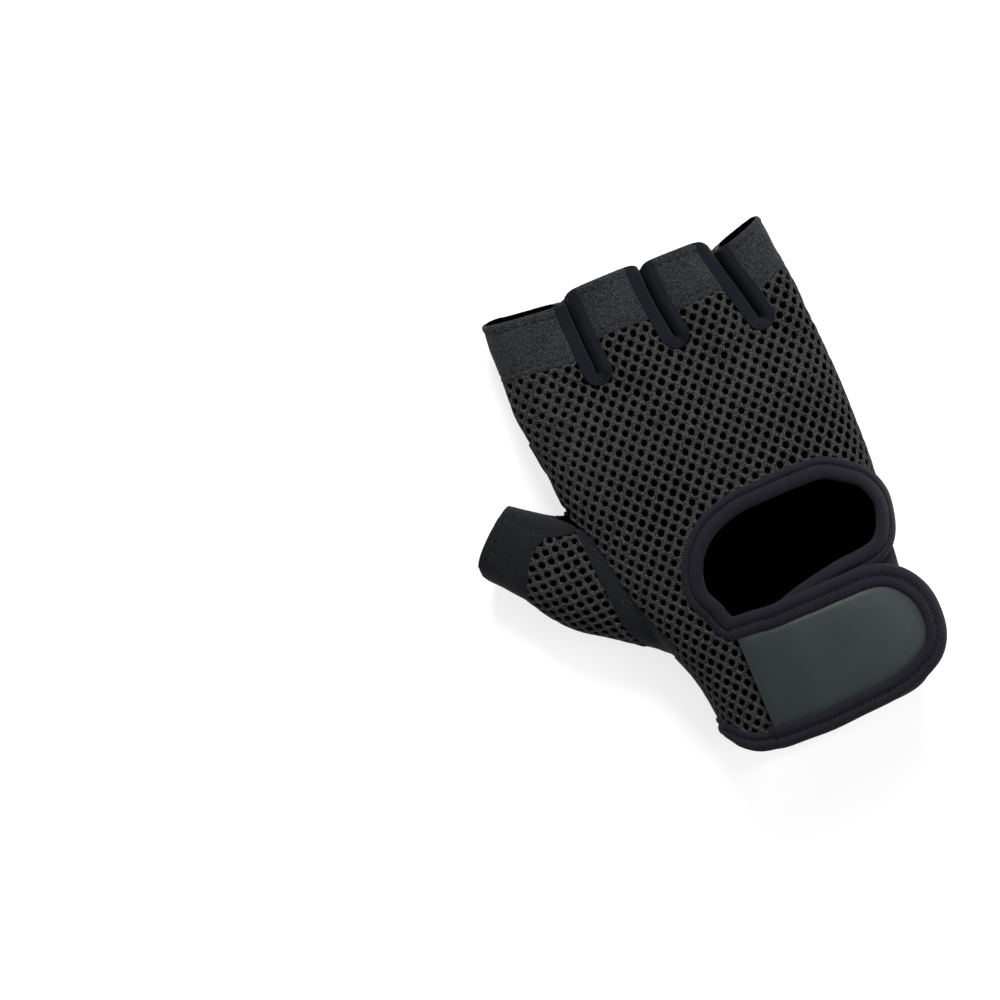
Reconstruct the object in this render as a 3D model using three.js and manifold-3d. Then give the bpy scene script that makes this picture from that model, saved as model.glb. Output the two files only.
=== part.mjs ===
// Weightlifting glove for the right hand: half fingers, open mesh back, suede palm, wrist strap.
// Millimetres. The glove lies palm down: +X is the little-finger side, +Y the fingertips, +Z up.
// Every wall is cut from two nested forms of the hand, so neighbours share their seam lines.
import * as THREE from 'three';
import * as BufferGeometryUtils from 'three/addons/utils/BufferGeometryUtils.js';
import Module from 'manifold-3d';

const wasm = await Module();
wasm.setup();

// Overall sizes
const glove_length = 156;
const hand_breadth = 96;
const hand_height = 35;
const side_seam_height = 9.5;

// Fingers
const finger_height = 18.5;
const finger_rise = 1.0;
const palm_lip = 1.5;
const fourchette_width = 7.4;

// Thumb
const thumb_reach = 64;
const thumb_width = 23.4;
const thumb_height = 20;
const thumb_bearing = 140;
const thumb_lip = 4;

// Walls and layers
const clearance = 0.3;
const mesh_wall = 1.6;
const suede_wall = 1.3;
const stretch_wall = 1.1;
const pad_thickness = 2.2;
const palm_settle = 1.2;
const binding_rise = 0.6;
const binding_wrap = 0.4;

// Vent, hem and strap
const vent_length = 70.6;
const vent_width = 44.6;
const vent_tape = 6.4;
const vent_tilt = 4;
const vent_fullness = 2.2;
const hem_tape = 5;
const hem_rise = 9;
const strap_length = 61.6;
const strap_width = 42.5;
const strap_tape = 6;
const strap_wall = 1.4;
const strap_overhang = 9;
const patch_wall = 0.8;
const patch_rise = 0.2;

// Fineness of the facets
const hand_sides = 32;
const finger_sides = 16;
const thumb_sides = 20;
const line_steps = 2;

const palm_level = pad_thickness + clearance;
const equator = palm_level + 0.36 * hand_height;
const far = 2 * glove_length;

// Sections of the hand from below the hem to the crotch. Places across are shares of hand_breadth,
// places along are shares of glove_length from the hem, and top is a share of hand_height.
const hand_sections = [
  { along: -0.12, left: -0.315, right: 0.396, top: 0.95, square: 3.0 },
  { along: 0.0, left: -0.315, right: 0.398, top: 0.96, square: 3.0 },
  { along: 0.106, left: -0.318, right: 0.402, top: 0.99, square: 3.0 },
  { along: 0.18, left: -0.336, right: 0.408, top: 1.0, square: 2.9 },
  { along: 0.266, left: -0.385, right: 0.42, top: 1.0, square: 2.7 },
  { along: 0.36, left: -0.448, right: 0.448, top: 0.975, square: 2.5 },
  { along: 0.458, left: -0.49, right: 0.467, top: 0.94, square: 2.4 },
  { along: 0.554, left: -0.508, right: 0.472, top: 0.89, square: 2.35 },
  { along: 0.65, left: -0.516, right: 0.474, top: 0.82, square: 2.3 },
  { along: 0.72, left: -0.519, right: 0.471, top: 0.71, square: 2.3 },
  { along: 0.765, left: -0.521, right: 0.468, top: 0.62, square: 2.3 },
];

// The crotch line, where the hand ends between the fingers.
const crotch_line = [
  { across: -0.6, along: 0.81 },
  { across: -0.24, along: 0.816 },
  { across: 0.036, along: 0.824 },
  { across: 0.323, along: 0.792 },
  { across: 0.6, along: 0.765 },
];
const crotch_top = 0.53;

// Sides of each finger at its root, at the crotch and at its tip, how far its two tip corners
// reach, and how much taller than finger_height its root is.
const finger_root = 0.68;
const finger_middle = 0.8;
const fingers = [
  {
    name: 'index', root: [-0.515, -0.235], crotch: [-0.541, -0.2445], tip: [-0.523, -0.2535],
    reach: [0.99, 0.97], swell: 0.18,
  },
  {
    name: 'middle', root: [-0.225, 0.045], crotch: [-0.2375, 0.0335], tip: [-0.2425, 0.013],
    reach: [0.993, 0.992], swell: 0.36,
  },
  {
    name: 'ring', root: [0.04, 0.32], crotch: [0.0415, 0.2875], tip: [0.0195, 0.241],
    reach: [0.984, 0.98], swell: 0.34,
  },
  {
    name: 'little', root: [0.31, 0.465], crotch: [0.2975, 0.467], tip: [0.248, 0.437],
    reach: [0.944, 0.979], swell: 0.04,
  },
];

// Middle line of each slit between two fingers, from above the tips down to its round end.
const slits = [
  { name: 'index_middle', line: [[-0.249, 1.06], [-0.246, 0.93], [-0.243, 0.86], [-0.241, 0.824]] },
  { name: 'middle_ring', line: [[0.014, 1.06], [0.017, 0.93], [0.03, 0.86], [0.036, 0.832]] },
  { name: 'ring_little', line: [[0.228, 1.06], [0.266, 0.93], [0.292, 0.86], [0.314, 0.8]] },
];

// Lower edge of the suede bands on the back of the fingers.
const band_line = [
  { across: -0.9, along: 0.884 },
  { across: -0.54, along: 0.882 },
  { across: -0.28, along: 0.866 },
  { across: -0.2, along: 0.887 },
  { across: -0.02, along: 0.884 },
  { across: 0.07, along: 0.88 },
  { across: 0.235, along: 0.88 },
  { across: 0.325, along: 0.853 },
  { across: 0.45, along: 0.875 },
  { across: 0.9, along: 0.9 },
];

// Seams round the thumb: the edge of the back, the strip beside it, and the thumb's own pieces.
const back_edge = [
  { across: -1.6, along: 1.06 },
  { across: -0.54, along: 0.585 },
  { across: -0.49, along: 0.541 },
  { across: -0.464, along: 0.49 },
  { across: -0.448, along: 0.426 },
  { across: -0.422, along: 0.362 },
  { across: -0.396, along: 0.311 },
  { across: -0.365, along: 0.246 },
  { across: -0.9, along: 0.1 },
  { across: -1.2, along: -0.6 },
];
const strip_edge = [
  { across: -0.52, along: 0.7 },
  { across: -0.5, along: 0.53 },
  { across: -0.497, along: 0.46 },
  { across: -0.49, along: 0.4 },
  { across: -0.478, along: 0.33 },
  { across: -0.44, along: 0.285 },
  { across: -0.41, along: 0.258 },
  { across: -0.9, along: 0.16 },
];
const thumb_fold = [
  { across: -0.84, along: 0.72 },
  { across: -0.724, along: 0.635 },
  { across: -0.677, along: 0.603 },
  { across: -0.609, along: 0.564 },
  { across: -0.55, along: 0.552 },
  { across: -0.3, along: 0.545 },
];
const thumb_band_line = [
  { across: -0.4, along: 0.72 },
  { across: -0.55, along: 0.61 },
  { across: -0.609, along: 0.564 },
  { across: -0.646, along: 0.554 },
  { across: -0.688, along: 0.529 },
  { across: -0.714, along: 0.503 },
  { across: -0.745, along: 0.46 },
  { across: -0.8, along: 0.4 },
];

// Sections of the thumb from its opening back into the hand. Back is a share of thumb_reach,
// lower and upper are shares of thumb_width, floor and top are shares of thumb_height.
const thumb_sections = [
  { back: 0.0, lower: -0.5, upper: 0.5, floor: 0.0, top: 0.98 },
  { back: 0.15, lower: -0.57, upper: 0.522, floor: 0.0, top: 1.0 },
  { back: 0.26, lower: -0.645, upper: 0.555, floor: 0.0, top: 1.03 },
  { back: 0.36, lower: -0.745, upper: 0.64, floor: 0.0, top: 1.07 },
  { back: 0.52, lower: -0.825, upper: 0.74, floor: 0.0, top: 1.12 },
  { back: 0.7, lower: -0.79, upper: 0.76, floor: 0.0, top: 1.13 },
  { back: 0.86, lower: -0.765, upper: 0.7, floor: 0.0, top: 1.1 },
  { back: 1.0, lower: -0.74, upper: 0.6, floor: 0.05, top: 1.0 },
];
const thumb_mouth = { across: -0.77, along: 0.6 };

// Palm side: the padded patch, the seam round the ball of the thumb and the leaf-shaped gusset.
const pad_outline = [
  { across: -0.7, along: 0.745 },
  { across: -0.51, along: 0.743 },
  { across: -0.3, along: 0.735 },
  { across: 0.0, along: 0.728 },
  { across: 0.3, along: 0.713 },
  { across: 0.4, along: 0.698 },
  { across: 0.434, along: 0.655 },
  { across: 0.43, along: 0.54 },
  { across: 0.418, along: 0.42 },
  { across: 0.394, along: 0.285 },
  { across: 0.35, along: 0.198 },
  { across: 0.25, along: 0.153 },
  { across: 0.1, along: 0.131 },
  { across: 0.01, along: 0.128 },
  { across: -0.07, along: 0.155 },
  { across: -0.115, along: 0.203 },
  { across: -0.145, along: 0.284 },
  { across: -0.187, along: 0.372 },
  { across: -0.25, along: 0.46 },
  { across: -0.34, along: 0.51 },
  { across: -0.45, along: 0.524 },
  { across: -0.7, along: 0.53 },
];
const thumb_seam = [
  { across: -1.2, along: 0.24 },
  { across: -0.4, along: 0.19 },
  { across: -0.3, along: 0.152 },
  { across: -0.22, along: 0.158 },
  { across: -0.156, along: 0.182 },
  { across: -0.128, along: 0.216 },
  { across: -0.143, along: 0.28 },
  { across: -0.19, along: 0.368 },
  { across: -0.256, along: 0.452 },
  { across: -0.35, along: 0.507 },
  { across: -0.45, along: 0.526 },
  { across: -0.5, along: 0.555 },
  { across: -0.6, along: 0.64 },
  { across: -0.9, along: 0.9 },
];
const gusset_outline = [
  { across: -0.475, along: 0.474 },
  { across: -0.445, along: 0.497 },
  { across: -0.38, along: 0.503 },
  { across: -0.31, along: 0.478 },
  { across: -0.268, along: 0.447 },
  { across: -0.265, along: 0.41 },
  { across: -0.3, along: 0.393 },
  { across: -0.37, along: 0.425 },
  { across: -0.44, along: 0.457 },
];

// Vent in the back, and the tab and the strap that close below it.
const vent_centre = { across: 0.1, along: 0.365 };
const tab_root = -0.08;
const tab_edge = [
  { across: -0.3, along: 0.25 },
  { across: 0.0, along: 0.268 },
  { across: 0.18, along: 0.286 },
  { across: 0.36, along: 0.308 },
  { across: 0.9, along: 0.38 },
];
const strap_root = { across: -0.17, along: 0.0 };
const strap_outline = [
  { reach: 0.0, width: 0.98 },
  { reach: 0.25, width: 0.975 },
  { reach: 0.6, width: 1.0 },
  { reach: 0.76, width: 0.995 },
  { reach: 0.85, width: 0.955 },
  { reach: 0.93, width: 0.86 },
  { reach: 0.985, width: 0.7 },
  { reach: 1.0, width: 0.5 },
  { reach: 0.975, width: 0.3 },
  { reach: 0.92, width: 0.15 },
  { reach: 0.83, width: 0.06 },
  { reach: 0.6, width: 0.015 },
  { reach: 0.25, width: -0.005 },
  { reach: 0.0, width: 0.0 },
];

// A point in plan from its shares of the hand's breadth and the glove's length.
function place(point) {
  return new THREE.Vector2(point.across * hand_breadth, point.along * glove_length);
}

// A smooth plan line through the rows of a table, open or closed.
function smooth(points, closed) {
  const knots = points.map((p) => new THREE.Vector3(p.x, p.y, 0));
  const curve = new THREE.CatmullRomCurve3(knots, closed, 'centripetal');
  const steps = line_steps * (closed ? knots.length : knots.length - 1);
  const line = curve.getPoints(steps).map((p) => new THREE.Vector2(p.x, p.y));
  if (closed) line.pop();
  return line;
}

// The same line moved sideways, to the left of its own direction when the distance is positive.
function shifted(line, distance, closed) {
  const count = line.length;
  return line.map((point, i) => {
    const before = line[closed ? (i + count - 1) % count : Math.max(i - 1, 0)];
    const after = line[closed ? (i + 1) % count : Math.min(i + 1, count - 1)];
    const run = after.clone().sub(before).normalize();
    return new THREE.Vector2(point.x - run.y * distance, point.y + run.x * distance);
  });
}

// A closed solid from an indexed or plain geometry.
function solidOf(geometry) {
  geometry.deleteAttribute('normal');
  geometry.deleteAttribute('uv');
  const merged = BufferGeometryUtils.mergeVertices(geometry, 1e-5);
  return new wasm.Manifold(new wasm.Mesh({
    numProp: 3,
    vertProperties: new Float32Array(merged.attributes.position.array),
    triVerts: new Uint32Array(merged.index.array),
  }));
}

// A vertical prism on a closed plan outline.
function prism(outline, low = -far, high = far) {
  const geometry = new THREE.ExtrudeGeometry(new THREE.Shape(outline), {
    depth: high - low,
    bevelEnabled: false,
    steps: 1,
  });
  geometry.translate(0, 0, low);
  return solidOf(geometry);
}

// Everything on one side of an open plan line, which is first moved away from the seam.
function beyond(line, distance, toward) {
  const edge = shifted(line, distance, false);
  const reach = new THREE.Vector2(toward[0], toward[1]).multiplyScalar(far);
  const back = [edge[edge.length - 1].clone().add(reach), edge[0].clone().add(reach)];
  return prism([...edge, ...back]);
}

// A horizontal slab between two heights.
function slab(low, high) {
  const geometry = new THREE.BoxGeometry(2 * far, 2 * far, high - low);
  geometry.translate(0, 0, (low + high) / 2);
  return solidOf(geometry);
}

// A closed skin through rings of points that all have the same count.
function loft(rings) {
  const count = rings[0].length;
  const points = rings.flat();
  const faces = [];
  for (let r = 0; r < rings.length - 1; r += 1) {
    for (let k = 0; k < count; k += 1) {
      const a = r * count + k;
      const b = r * count + ((k + 1) % count);
      faces.push(a, b, b + count, a, b + count, a + count);
    }
  }
  for (const first of [0, (rings.length - 1) * count]) {
    for (let k = 0; k < count / 2; k += 1) {
      const top = [first + k, first + k + 1];
      const under = [first + ((count - k) % count), first + count - k - 1];
      const cap = [];
      if (k > 0) cap.push(top[0], under[1], under[0]);
      if (k < count / 2 - 1) cap.push(top[0], top[1], under[1]);
      faces.push(...(first > 0 ? cap : cap.reverse()));
    }
  }
  const geometry = new THREE.BufferGeometry();
  const values = points.flatMap((p) => p.toArray());
  geometry.setAttribute('position', new THREE.Float32BufferAttribute(values, 3));
  geometry.setIndex(faces);
  const solid = solidOf(geometry);
  return solid.volume() > 0 ? solid : solidOf(flipped(geometry));
}

// The same faces turned inside out, for rings that run against their own turning sense.
function flipped(geometry) {
  const index = geometry.index.array;
  const turned = [];
  for (let i = 0; i < index.length; i += 3) turned.push(index[i], index[i + 2], index[i + 1]);
  geometry.setIndex(turned);
  return geometry;
}

// One ring: a rounded section with its own fullness above and below its widest line,
// grown outward by grow and pressed flat where it would pass the floor level.
function section(shape, sides, grow) {
  const ring = [];
  for (let k = 0; k < sides; k += 1) {
    const angle = (2 * Math.PI * k) / sides;
    const c = Math.cos(angle);
    const s = Math.sin(angle);
    const power = 2 / (s >= 0 ? shape.square : shape.floor_square);
    const half = shape.half + grow + (c > 0 ? shape.overhang ?? 0 : 0);
    const side = Math.sign(c) * Math.abs(c) ** power * half;
    const height = s >= 0 ? shape.rise + grow : shape.drop + grow;
    const lift = Math.sign(s) * Math.abs(s) ** power * height;
    const level = Math.max(shape.centre.z + lift, shape.floor - grow);
    ring.push(new THREE.Vector3(
      shape.centre.x + shape.across.x * side,
      shape.centre.y + shape.across.y * side,
      level,
    ));
  }
  return ring;
}

// Straight reading of a table between its rows.
function reading(rows, column, key, value) {
  let i = 0;
  while (i < rows.length - 2 && rows[i + 1][column] < value) i += 1;
  const share = (value - rows[i][column]) / (rows[i + 1][column] - rows[i][column]);
  return rows[i][key] + share * (rows[i + 1][key] - rows[i][key]);
}

const across_x = new THREE.Vector2(1, 0);

function handSection(row, grow, overhang = 0) {
  const left = row.left * hand_breadth;
  const right = row.right * hand_breadth;
  return section({
    centre: new THREE.Vector3((left + right) / 2, row.along * glove_length, equator),
    across: across_x,
    half: (right - left) / 2,
    rise: row.top * hand_height + palm_level - equator,
    drop: equator - palm_level + palm_settle,
    floor: palm_level,
    square: row.square,
    floor_square: 3.2,
    overhang,
  }, hand_sides, grow);
}

// The body of the hand. Its front follows the crotch line and is rounded by the last two rings.
function handForm(grow) {
  const rings = hand_sections.map((row) => handSection(row, grow));
  const last = hand_sections[hand_sections.length - 1];
  const steps = [
    { share: 0.7, top: crotch_top, shrink: 0.5 },
    { share: 1, top: crotch_top - 0.04, shrink: 2 },
  ];
  for (const step of steps) {
    const ring = handSection({ ...last, top: step.top }, grow - step.shrink);
    for (const p of ring) {
      const front = reading(crotch_line, 'across', 'along', p.x / hand_breadth) * glove_length + grow;
      p.y += step.share * (front - p.y);
    }
    rings.push(ring);
  }
  return loft(rings);
}

// One finger stub, whose palm side reaches past its back by the palm lip.
function fingerForm(finger, grow) {
  const rings = [];
  const steps = [0, 0.25, 0.45, 0.7, 1];
  const middle_share = (finger_middle - finger_root) / (finger.reach[0] - finger_root);
  const rows = [
    { share: 0, left: finger.root[0], right: finger.root[1] },
    { share: middle_share, left: finger.crotch[0], right: finger.crotch[1] },
    { share: 1, left: finger.tip[0], right: finger.tip[1] },
  ];
  const start = finger_root * glove_length;
  for (const share of steps) {
    const left = reading(rows, 'share', 'left', share) * hand_breadth;
    const right = reading(rows, 'share', 'right', share) * hand_breadth;
    const height = finger_height * (1 + finger.swell * (1 - share) ** 1.4);
    const floor = palm_level + finger_rise * share;
    const ring = section({
      centre: new THREE.Vector3((left + right) / 2, start, floor + height / 2),
      across: across_x,
      half: (right - left) / 2,
      rise: height / 2,
      drop: height / 2 + palm_settle / 2,
      floor,
      square: 2.3,
      floor_square: 2.6,
    }, finger_sides, grow);
    for (const p of ring) {
      const side = (p.x - left) / (right - left);
      const edge = (finger.reach[0] + side * (finger.reach[1] - finger.reach[0])) * glove_length;
      const lip = palm_lip * (1 - (p.z - floor) / height);
      const overrun = grow < 0 ? 4 : 0;
      p.y = start + share * (edge + lip + overrun - start);
    }
    rings.push(ring);
  }
  return loft(rings);
}

// The thumb, a widening tube that runs back into the hand.
const bearing = THREE.MathUtils.degToRad(thumb_bearing);
const thumb_out = new THREE.Vector2(Math.cos(bearing), Math.sin(bearing));
const thumb_across = new THREE.Vector2(thumb_out.y, -thumb_out.x);

function thumbForm(grow) {
  const mouth = place(thumb_mouth);
  const rows = grow < 0 ? [{ ...thumb_sections[0], back: -0.1 }, ...thumb_sections] : thumb_sections;
  const rings = rows.map((row) => {
    const lower = row.lower * thumb_width;
    const upper = row.upper * thumb_width;
    const middle = (lower + upper) / 2;
    const back = row.back * thumb_reach;
    const floor = palm_level + row.floor * thumb_height;
    const top = palm_level + row.top * thumb_height;
    const height = top - floor;
    const ring = section({
      centre: new THREE.Vector3(
        mouth.x - thumb_out.x * back + thumb_across.x * middle,
        mouth.y - thumb_out.y * back + thumb_across.y * middle,
        floor + 0.48 * height,
      ),
      across: thumb_across,
      half: (upper - lower) / 2,
      rise: 0.52 * height,
      drop: 0.48 * height + palm_settle,
      floor,
      square: 2.2,
      floor_square: 2.6,
    }, thumb_sides, grow);
    const slant = thumb_lip * Math.max(0, 1 - Math.abs(row.back) * 4);
    for (const p of ring) {
      const low = slant * (1 - (p.z - floor) / height);
      p.x -= thumb_out.x * low;
      p.y -= thumb_out.y * low;
    }
    return ring;
  });
  return loft(rings);
}

// The whole form of the glove, grown or shrunk, for cutting walls and layers from it.
const forms = new Map();
function form(grow) {
  if (!forms.has(grow)) {
    let whole = handForm(grow).add(thumbForm(grow));
    for (const finger of fingers) whole = whole.add(fingerForm(finger, grow));
    forms.set(grow, whole);
  }
  return forms.get(grow);
}

// A wall of the glove with its ends open at the wrist.
function shell(inner, outer = 0) {
  return form(outer).subtract(form(inner)).intersect(above_hem);
}

// Plan lines and regions shared by neighbouring pieces
const half_gap = clearance / 2;

function hemLine() {
  const row = hand_sections[1];
  const middle = ((row.left + row.right) / 2) * hand_breadth;
  const half = ((row.right - row.left) / 2) * hand_breadth;
  const line = [new THREE.Vector2(-far, hem_rise)];
  for (let step = -12; step <= 12; step += 1) {
    const share = step / 12;
    line.push(new THREE.Vector2(middle + share * half, hem_rise * Math.abs(share) ** 8));
  }
  return [...line, new THREE.Vector2(far, hem_rise)];
}

const hem_line = hemLine();
const above_hem = beyond(hem_line, 0, [0, 1]);
const above_tape = beyond(hem_line, hem_tape + half_gap, [0, 1]);
const below_tape = beyond(hem_line, hem_tape - half_gap, [0, -1]);
const upper = slab(side_seam_height + half_gap, far);
const lower = slab(-far, side_seam_height - half_gap);

// The slot of one fourchette: the slit's middle line widened, with a round end at the crotch.
function slotOutline(slit, grow) {
  const radius = fourchette_width / 2 + grow;
  const points = slit.line.map(([across, along]) => place({ across, along }));
  const middle = smooth(points, false);
  const right = shifted(middle, radius, false);
  const left = shifted(middle, -radius, false);
  const end = middle[middle.length - 1];
  const before = middle[middle.length - 2];
  const heading = Math.atan2(end.y - before.y, end.x - before.x);
  const round = [];
  for (let step = 1; step < 6; step += 1) {
    const angle = heading + Math.PI / 2 - (Math.PI * step) / 6;
    round.push(new THREE.Vector2(end.x + Math.cos(angle) * radius, end.y + Math.sin(angle) * radius));
  }
  return [...right, ...round, ...left.reverse()];
}

const slots = slits.map((slit) => prism(slotOutline(slit, -half_gap)));
const slot_clear = slits.map((slit) => prism(slotOutline(slit, half_gap)));

// The column of plan between the slits that bound one finger.
function fingerColumn(i) {
  const edges = [i - 1, i].map((k) => {
    if (k < 0) return [[-0.9, 1.06], [-0.9, 0.7]].map(([across, along]) => place({ across, along }));
    if (k > 2) return [[0.9, 1.06], [0.9, 0.7]].map(([across, along]) => place({ across, along }));
    return slits[k].line.map(([across, along]) => place({ across, along }));
  });
  return prism([...edges[0], ...edges[1].reverse()]);
}

const band_curve = smooth(band_line.map(place), false);
const back_curve = smooth(back_edge.map(place), false);
const strip_curve = smooth(strip_edge.map(place), false);
const fold_curve = smooth(thumb_fold.map(place), false);
const thumb_band_curve = smooth(thumb_band_line.map(place), false);

// The vent's outline, narrowed by a distance from its outer edge.
function ventOutline(inset) {
  const centre = place(vent_centre);
  const tilt = THREE.MathUtils.degToRad(vent_tilt);
  const outline = [];
  const sides = 28;
  for (let k = 0; k < sides; k += 1) {
    const angle = (2 * Math.PI * k) / sides;
    const c = Math.cos(angle);
    const s = Math.sin(angle);
    const u = Math.sign(c) * Math.abs(c) ** (2 / vent_fullness) * (vent_length / 2 - inset);
    const v = Math.sign(s) * Math.abs(s) ** (2 / vent_fullness) * (vent_width / 2 - inset);
    outline.push(new THREE.Vector2(
      centre.x + u * Math.cos(tilt) - v * Math.sin(tilt),
      centre.y + u * Math.sin(tilt) + v * Math.cos(tilt),
    ));
  }
  return outline;
}

const vent_clear = prism(ventOutline(-half_gap));
const tab_curve = smooth(tab_edge.map(place), false);
const tab_side = [[tab_root, -0.5], [tab_root, 1]].map(([across, along]) => place({ across, along }));
const tab_region = beyond(tab_curve, -half_gap, [0, -1])
  .intersect(beyond(tab_side, -half_gap, [1, 0]));
const tab_clear = beyond(tab_curve, half_gap, [0, -1]).intersect(beyond(tab_side, half_gap, [1, 0]));

// The strap lies on a form of its own, wider than the wrist, so that its end stands off the side.
function strapForm(grow) {
  return loft(hand_sections.slice(0, 6).map((row) => handSection(row, grow, strap_overhang)));
}

function strapOutline(inset) {
  const root = place(strap_root);
  const points = strap_outline.map((row) => new THREE.Vector2(
    root.x + row.reach * strap_length,
    root.y + row.width * strap_width,
  ));
  const edge = smooth(points, false);
  return shifted(edge, -inset, false);
}

const strap_floor = binding_rise + clearance;
const strap_start = place(strap_root);
const strap_side = [
  new THREE.Vector2(strap_start.x, -far),
  new THREE.Vector2(strap_start.x, far),
];
const strap_front = beyond(strap_side, 0, [1, 0]);

function strapLayer(inset, low, high) {
  const layer = strapForm(strap_floor + high).subtract(strapForm(strap_floor + low));
  const outline = strapOutline(inset);
  const tail = [
    new THREE.Vector2(strap_start.x - 5, outline[outline.length - 1].y),
    new THREE.Vector2(strap_start.x - 5, outline[0].y),
  ];
  return layer.intersect(prism([...outline, ...tail])).intersect(strap_front).intersect(upper);
}

// The pieces, each a function of its own
function backMesh() {
  let piece = shell(-mesh_wall).intersect(upper).intersect(above_tape);
  piece = piece.intersect(beyond(back_curve, half_gap, [1, 0]));
  piece = piece.intersect(beyond(band_curve, -half_gap, [0, -1]));
  piece = piece.subtract(vent_clear).subtract(tab_clear);
  for (const slot of slot_clear) piece = piece.subtract(slot);
  return piece;
}

function underTab() {
  return shell(-mesh_wall).intersect(upper).intersect(above_tape).intersect(tab_region);
}

function fingerBand(i) {
  let piece = shell(-suede_wall).intersect(upper).intersect(fingerColumn(i));
  piece = piece.intersect(beyond(band_curve, half_gap, [0, 1]));
  for (const slot of slot_clear) piece = piece.subtract(slot);
  return piece;
}

function fourchette(i) {
  return shell(-stretch_wall).intersect(slots[i]);
}

function ventBinding() {
  const ring = prism(ventOutline(half_gap)).subtract(prism(ventOutline(vent_tape)));
  const piece = shell(-mesh_wall - binding_wrap, binding_rise).intersect(upper).intersect(ring);
  return piece.subtract(beyond(tab_curve, half_gap, [0, -1]));
}

function hemBinding() {
  return shell(-mesh_wall - binding_wrap, binding_rise).intersect(below_tape);
}

function thumbMesh() {
  let piece = shell(-mesh_wall).intersect(upper).intersect(above_tape);
  piece = piece.intersect(beyond(strip_curve, -half_gap, [-1, 0]));
  piece = piece.intersect(beyond(fold_curve, -half_gap, [0, -1]));
  return piece.subtract(beyond(thumb_band_curve, half_gap, [-1, 0]));
}

function thumbBand() {
  const piece = shell(-suede_wall).intersect(upper).intersect(beyond(fold_curve, -half_gap, [0, -1]));
  return piece.intersect(beyond(thumb_band_curve, -half_gap, [-1, 0]));
}

function sideStrip() {
  let piece = shell(-suede_wall).intersect(upper).intersect(above_tape);
  piece = piece.intersect(beyond(back_curve, -half_gap, [-1, 0]));
  piece = piece.intersect(beyond(fold_curve, -half_gap, [0, -1]));
  return piece.intersect(beyond(strip_curve, half_gap, [1, 0]));
}

const seam_curve = smooth(thumb_seam.map(place), false);
const gusset_curve = smooth(gusset_outline.map(place), true);
const gusset_clear = prism(shifted(gusset_curve, half_gap, true));

function thumbPalm() {
  const under = beyond(seam_curve, half_gap, [-1, 0.4]).intersect(lower).intersect(above_tape);
  const over = beyond(fold_curve, half_gap, [0, 1])
    .intersect(beyond(back_curve, -half_gap, [-1, 0]))
    .intersect(slab(side_seam_height - 2 * clearance, far));
  const piece = shell(-suede_wall).intersect(under.add(over));
  return piece.subtract(gusset_clear);
}

function thumbGusset() {
  return shell(-suede_wall).intersect(lower).intersect(prism(shifted(gusset_curve, -half_gap, true)));
}

function palmPanel() {
  let piece = shell(-suede_wall).intersect(lower).intersect(above_tape);
  piece = piece.subtract(beyond(seam_curve, -half_gap, [-1, 0.4])).subtract(gusset_clear);
  for (const slot of slot_clear) piece = piece.subtract(slot);
  return piece;
}

function palmPad() {
  const outline = prism(smooth(pad_outline.map(place), true));
  return handForm(clearance + pad_thickness).subtract(form(clearance)).intersect(lower).intersect(outline);
}

function strapBody() {
  return strapLayer(strap_tape + half_gap, 0, strap_wall);
}

function strapPatch() {
  const low = strap_wall + clearance;
  return strapLayer(strap_tape + half_gap, low, low + patch_wall);
}

function strapBinding() {
  const high = strap_wall + clearance + patch_wall + patch_rise;
  return strapLayer(0, 0, high).subtract(strapLayer(strap_tape - half_gap, -1, high + 1));
}

// Finishes
const finishes = {
  air_mesh: { color: 0x34322f, roughness: 0.82 },
  suede: { color: 0x2a2d31, roughness: 0.9 },
  stretch: { color: 0x161a24, roughness: 0.7 },
  tape: { color: 0x2a2834, roughness: 0.75 },
  patch: { color: 0x303739, roughness: 0.5 },
};

const glove = new THREE.Group();

// A seam can pinch a crumb off a piece, so only its main body is kept.
function mainBody(solid) {
  return solid.decompose().reduce((best, part) => (part.volume() > best.volume() ? part : best));
}

function addPiece(name, solid, finish) {
  const mesh = mainBody(solid).getMesh();
  const geometry = new THREE.BufferGeometry();
  geometry.setAttribute('position', new THREE.BufferAttribute(new Float32Array(mesh.vertProperties), 3));
  geometry.setIndex(new THREE.BufferAttribute(new Uint32Array(mesh.triVerts), 1));
  const material = new THREE.MeshStandardMaterial({ ...finishes[finish], metalness: 0 });
  const piece = new THREE.Mesh(geometry, material);
  piece.name = name;
  glove.add(piece);
}

addPiece('back_mesh', backMesh(), 'air_mesh');
addPiece('under_tab', underTab(), 'stretch');
fingers.forEach((finger, i) => addPiece(`${finger.name}_band`, fingerBand(i), 'suede'));
slits.forEach((slit, i) => addPiece(`fourchette_${slit.name}`, fourchette(i), 'stretch'));
addPiece('vent_binding', ventBinding(), 'tape');
addPiece('hem_binding', hemBinding(), 'tape');
addPiece('thumb_mesh', thumbMesh(), 'air_mesh');
addPiece('thumb_band', thumbBand(), 'suede');
addPiece('side_strip', sideStrip(), 'suede');
addPiece('thumb_palm', thumbPalm(), 'suede');
addPiece('thumb_gusset', thumbGusset(), 'suede');
addPiece('palm_panel', palmPanel(), 'suede');
addPiece('palm_pad', palmPad(), 'suede');
addPiece('strap', strapBody(), 'tape');
addPiece('strap_patch', strapPatch(), 'patch');
addPiece('strap_binding', strapBinding(), 'tape');

// The origin is the middle of the glove's outline, on the surface that it lies on.
const box = new THREE.Box3().setFromObject(glove);
glove.position.set(-(box.min.x + box.max.x) / 2, -(box.min.y + box.max.y) / 2, -box.min.z);

export default glove;
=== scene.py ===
import itertools
import math

import bpy
import numpy as np
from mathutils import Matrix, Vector
from mathutils.bvhtree import BVHTree


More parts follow.
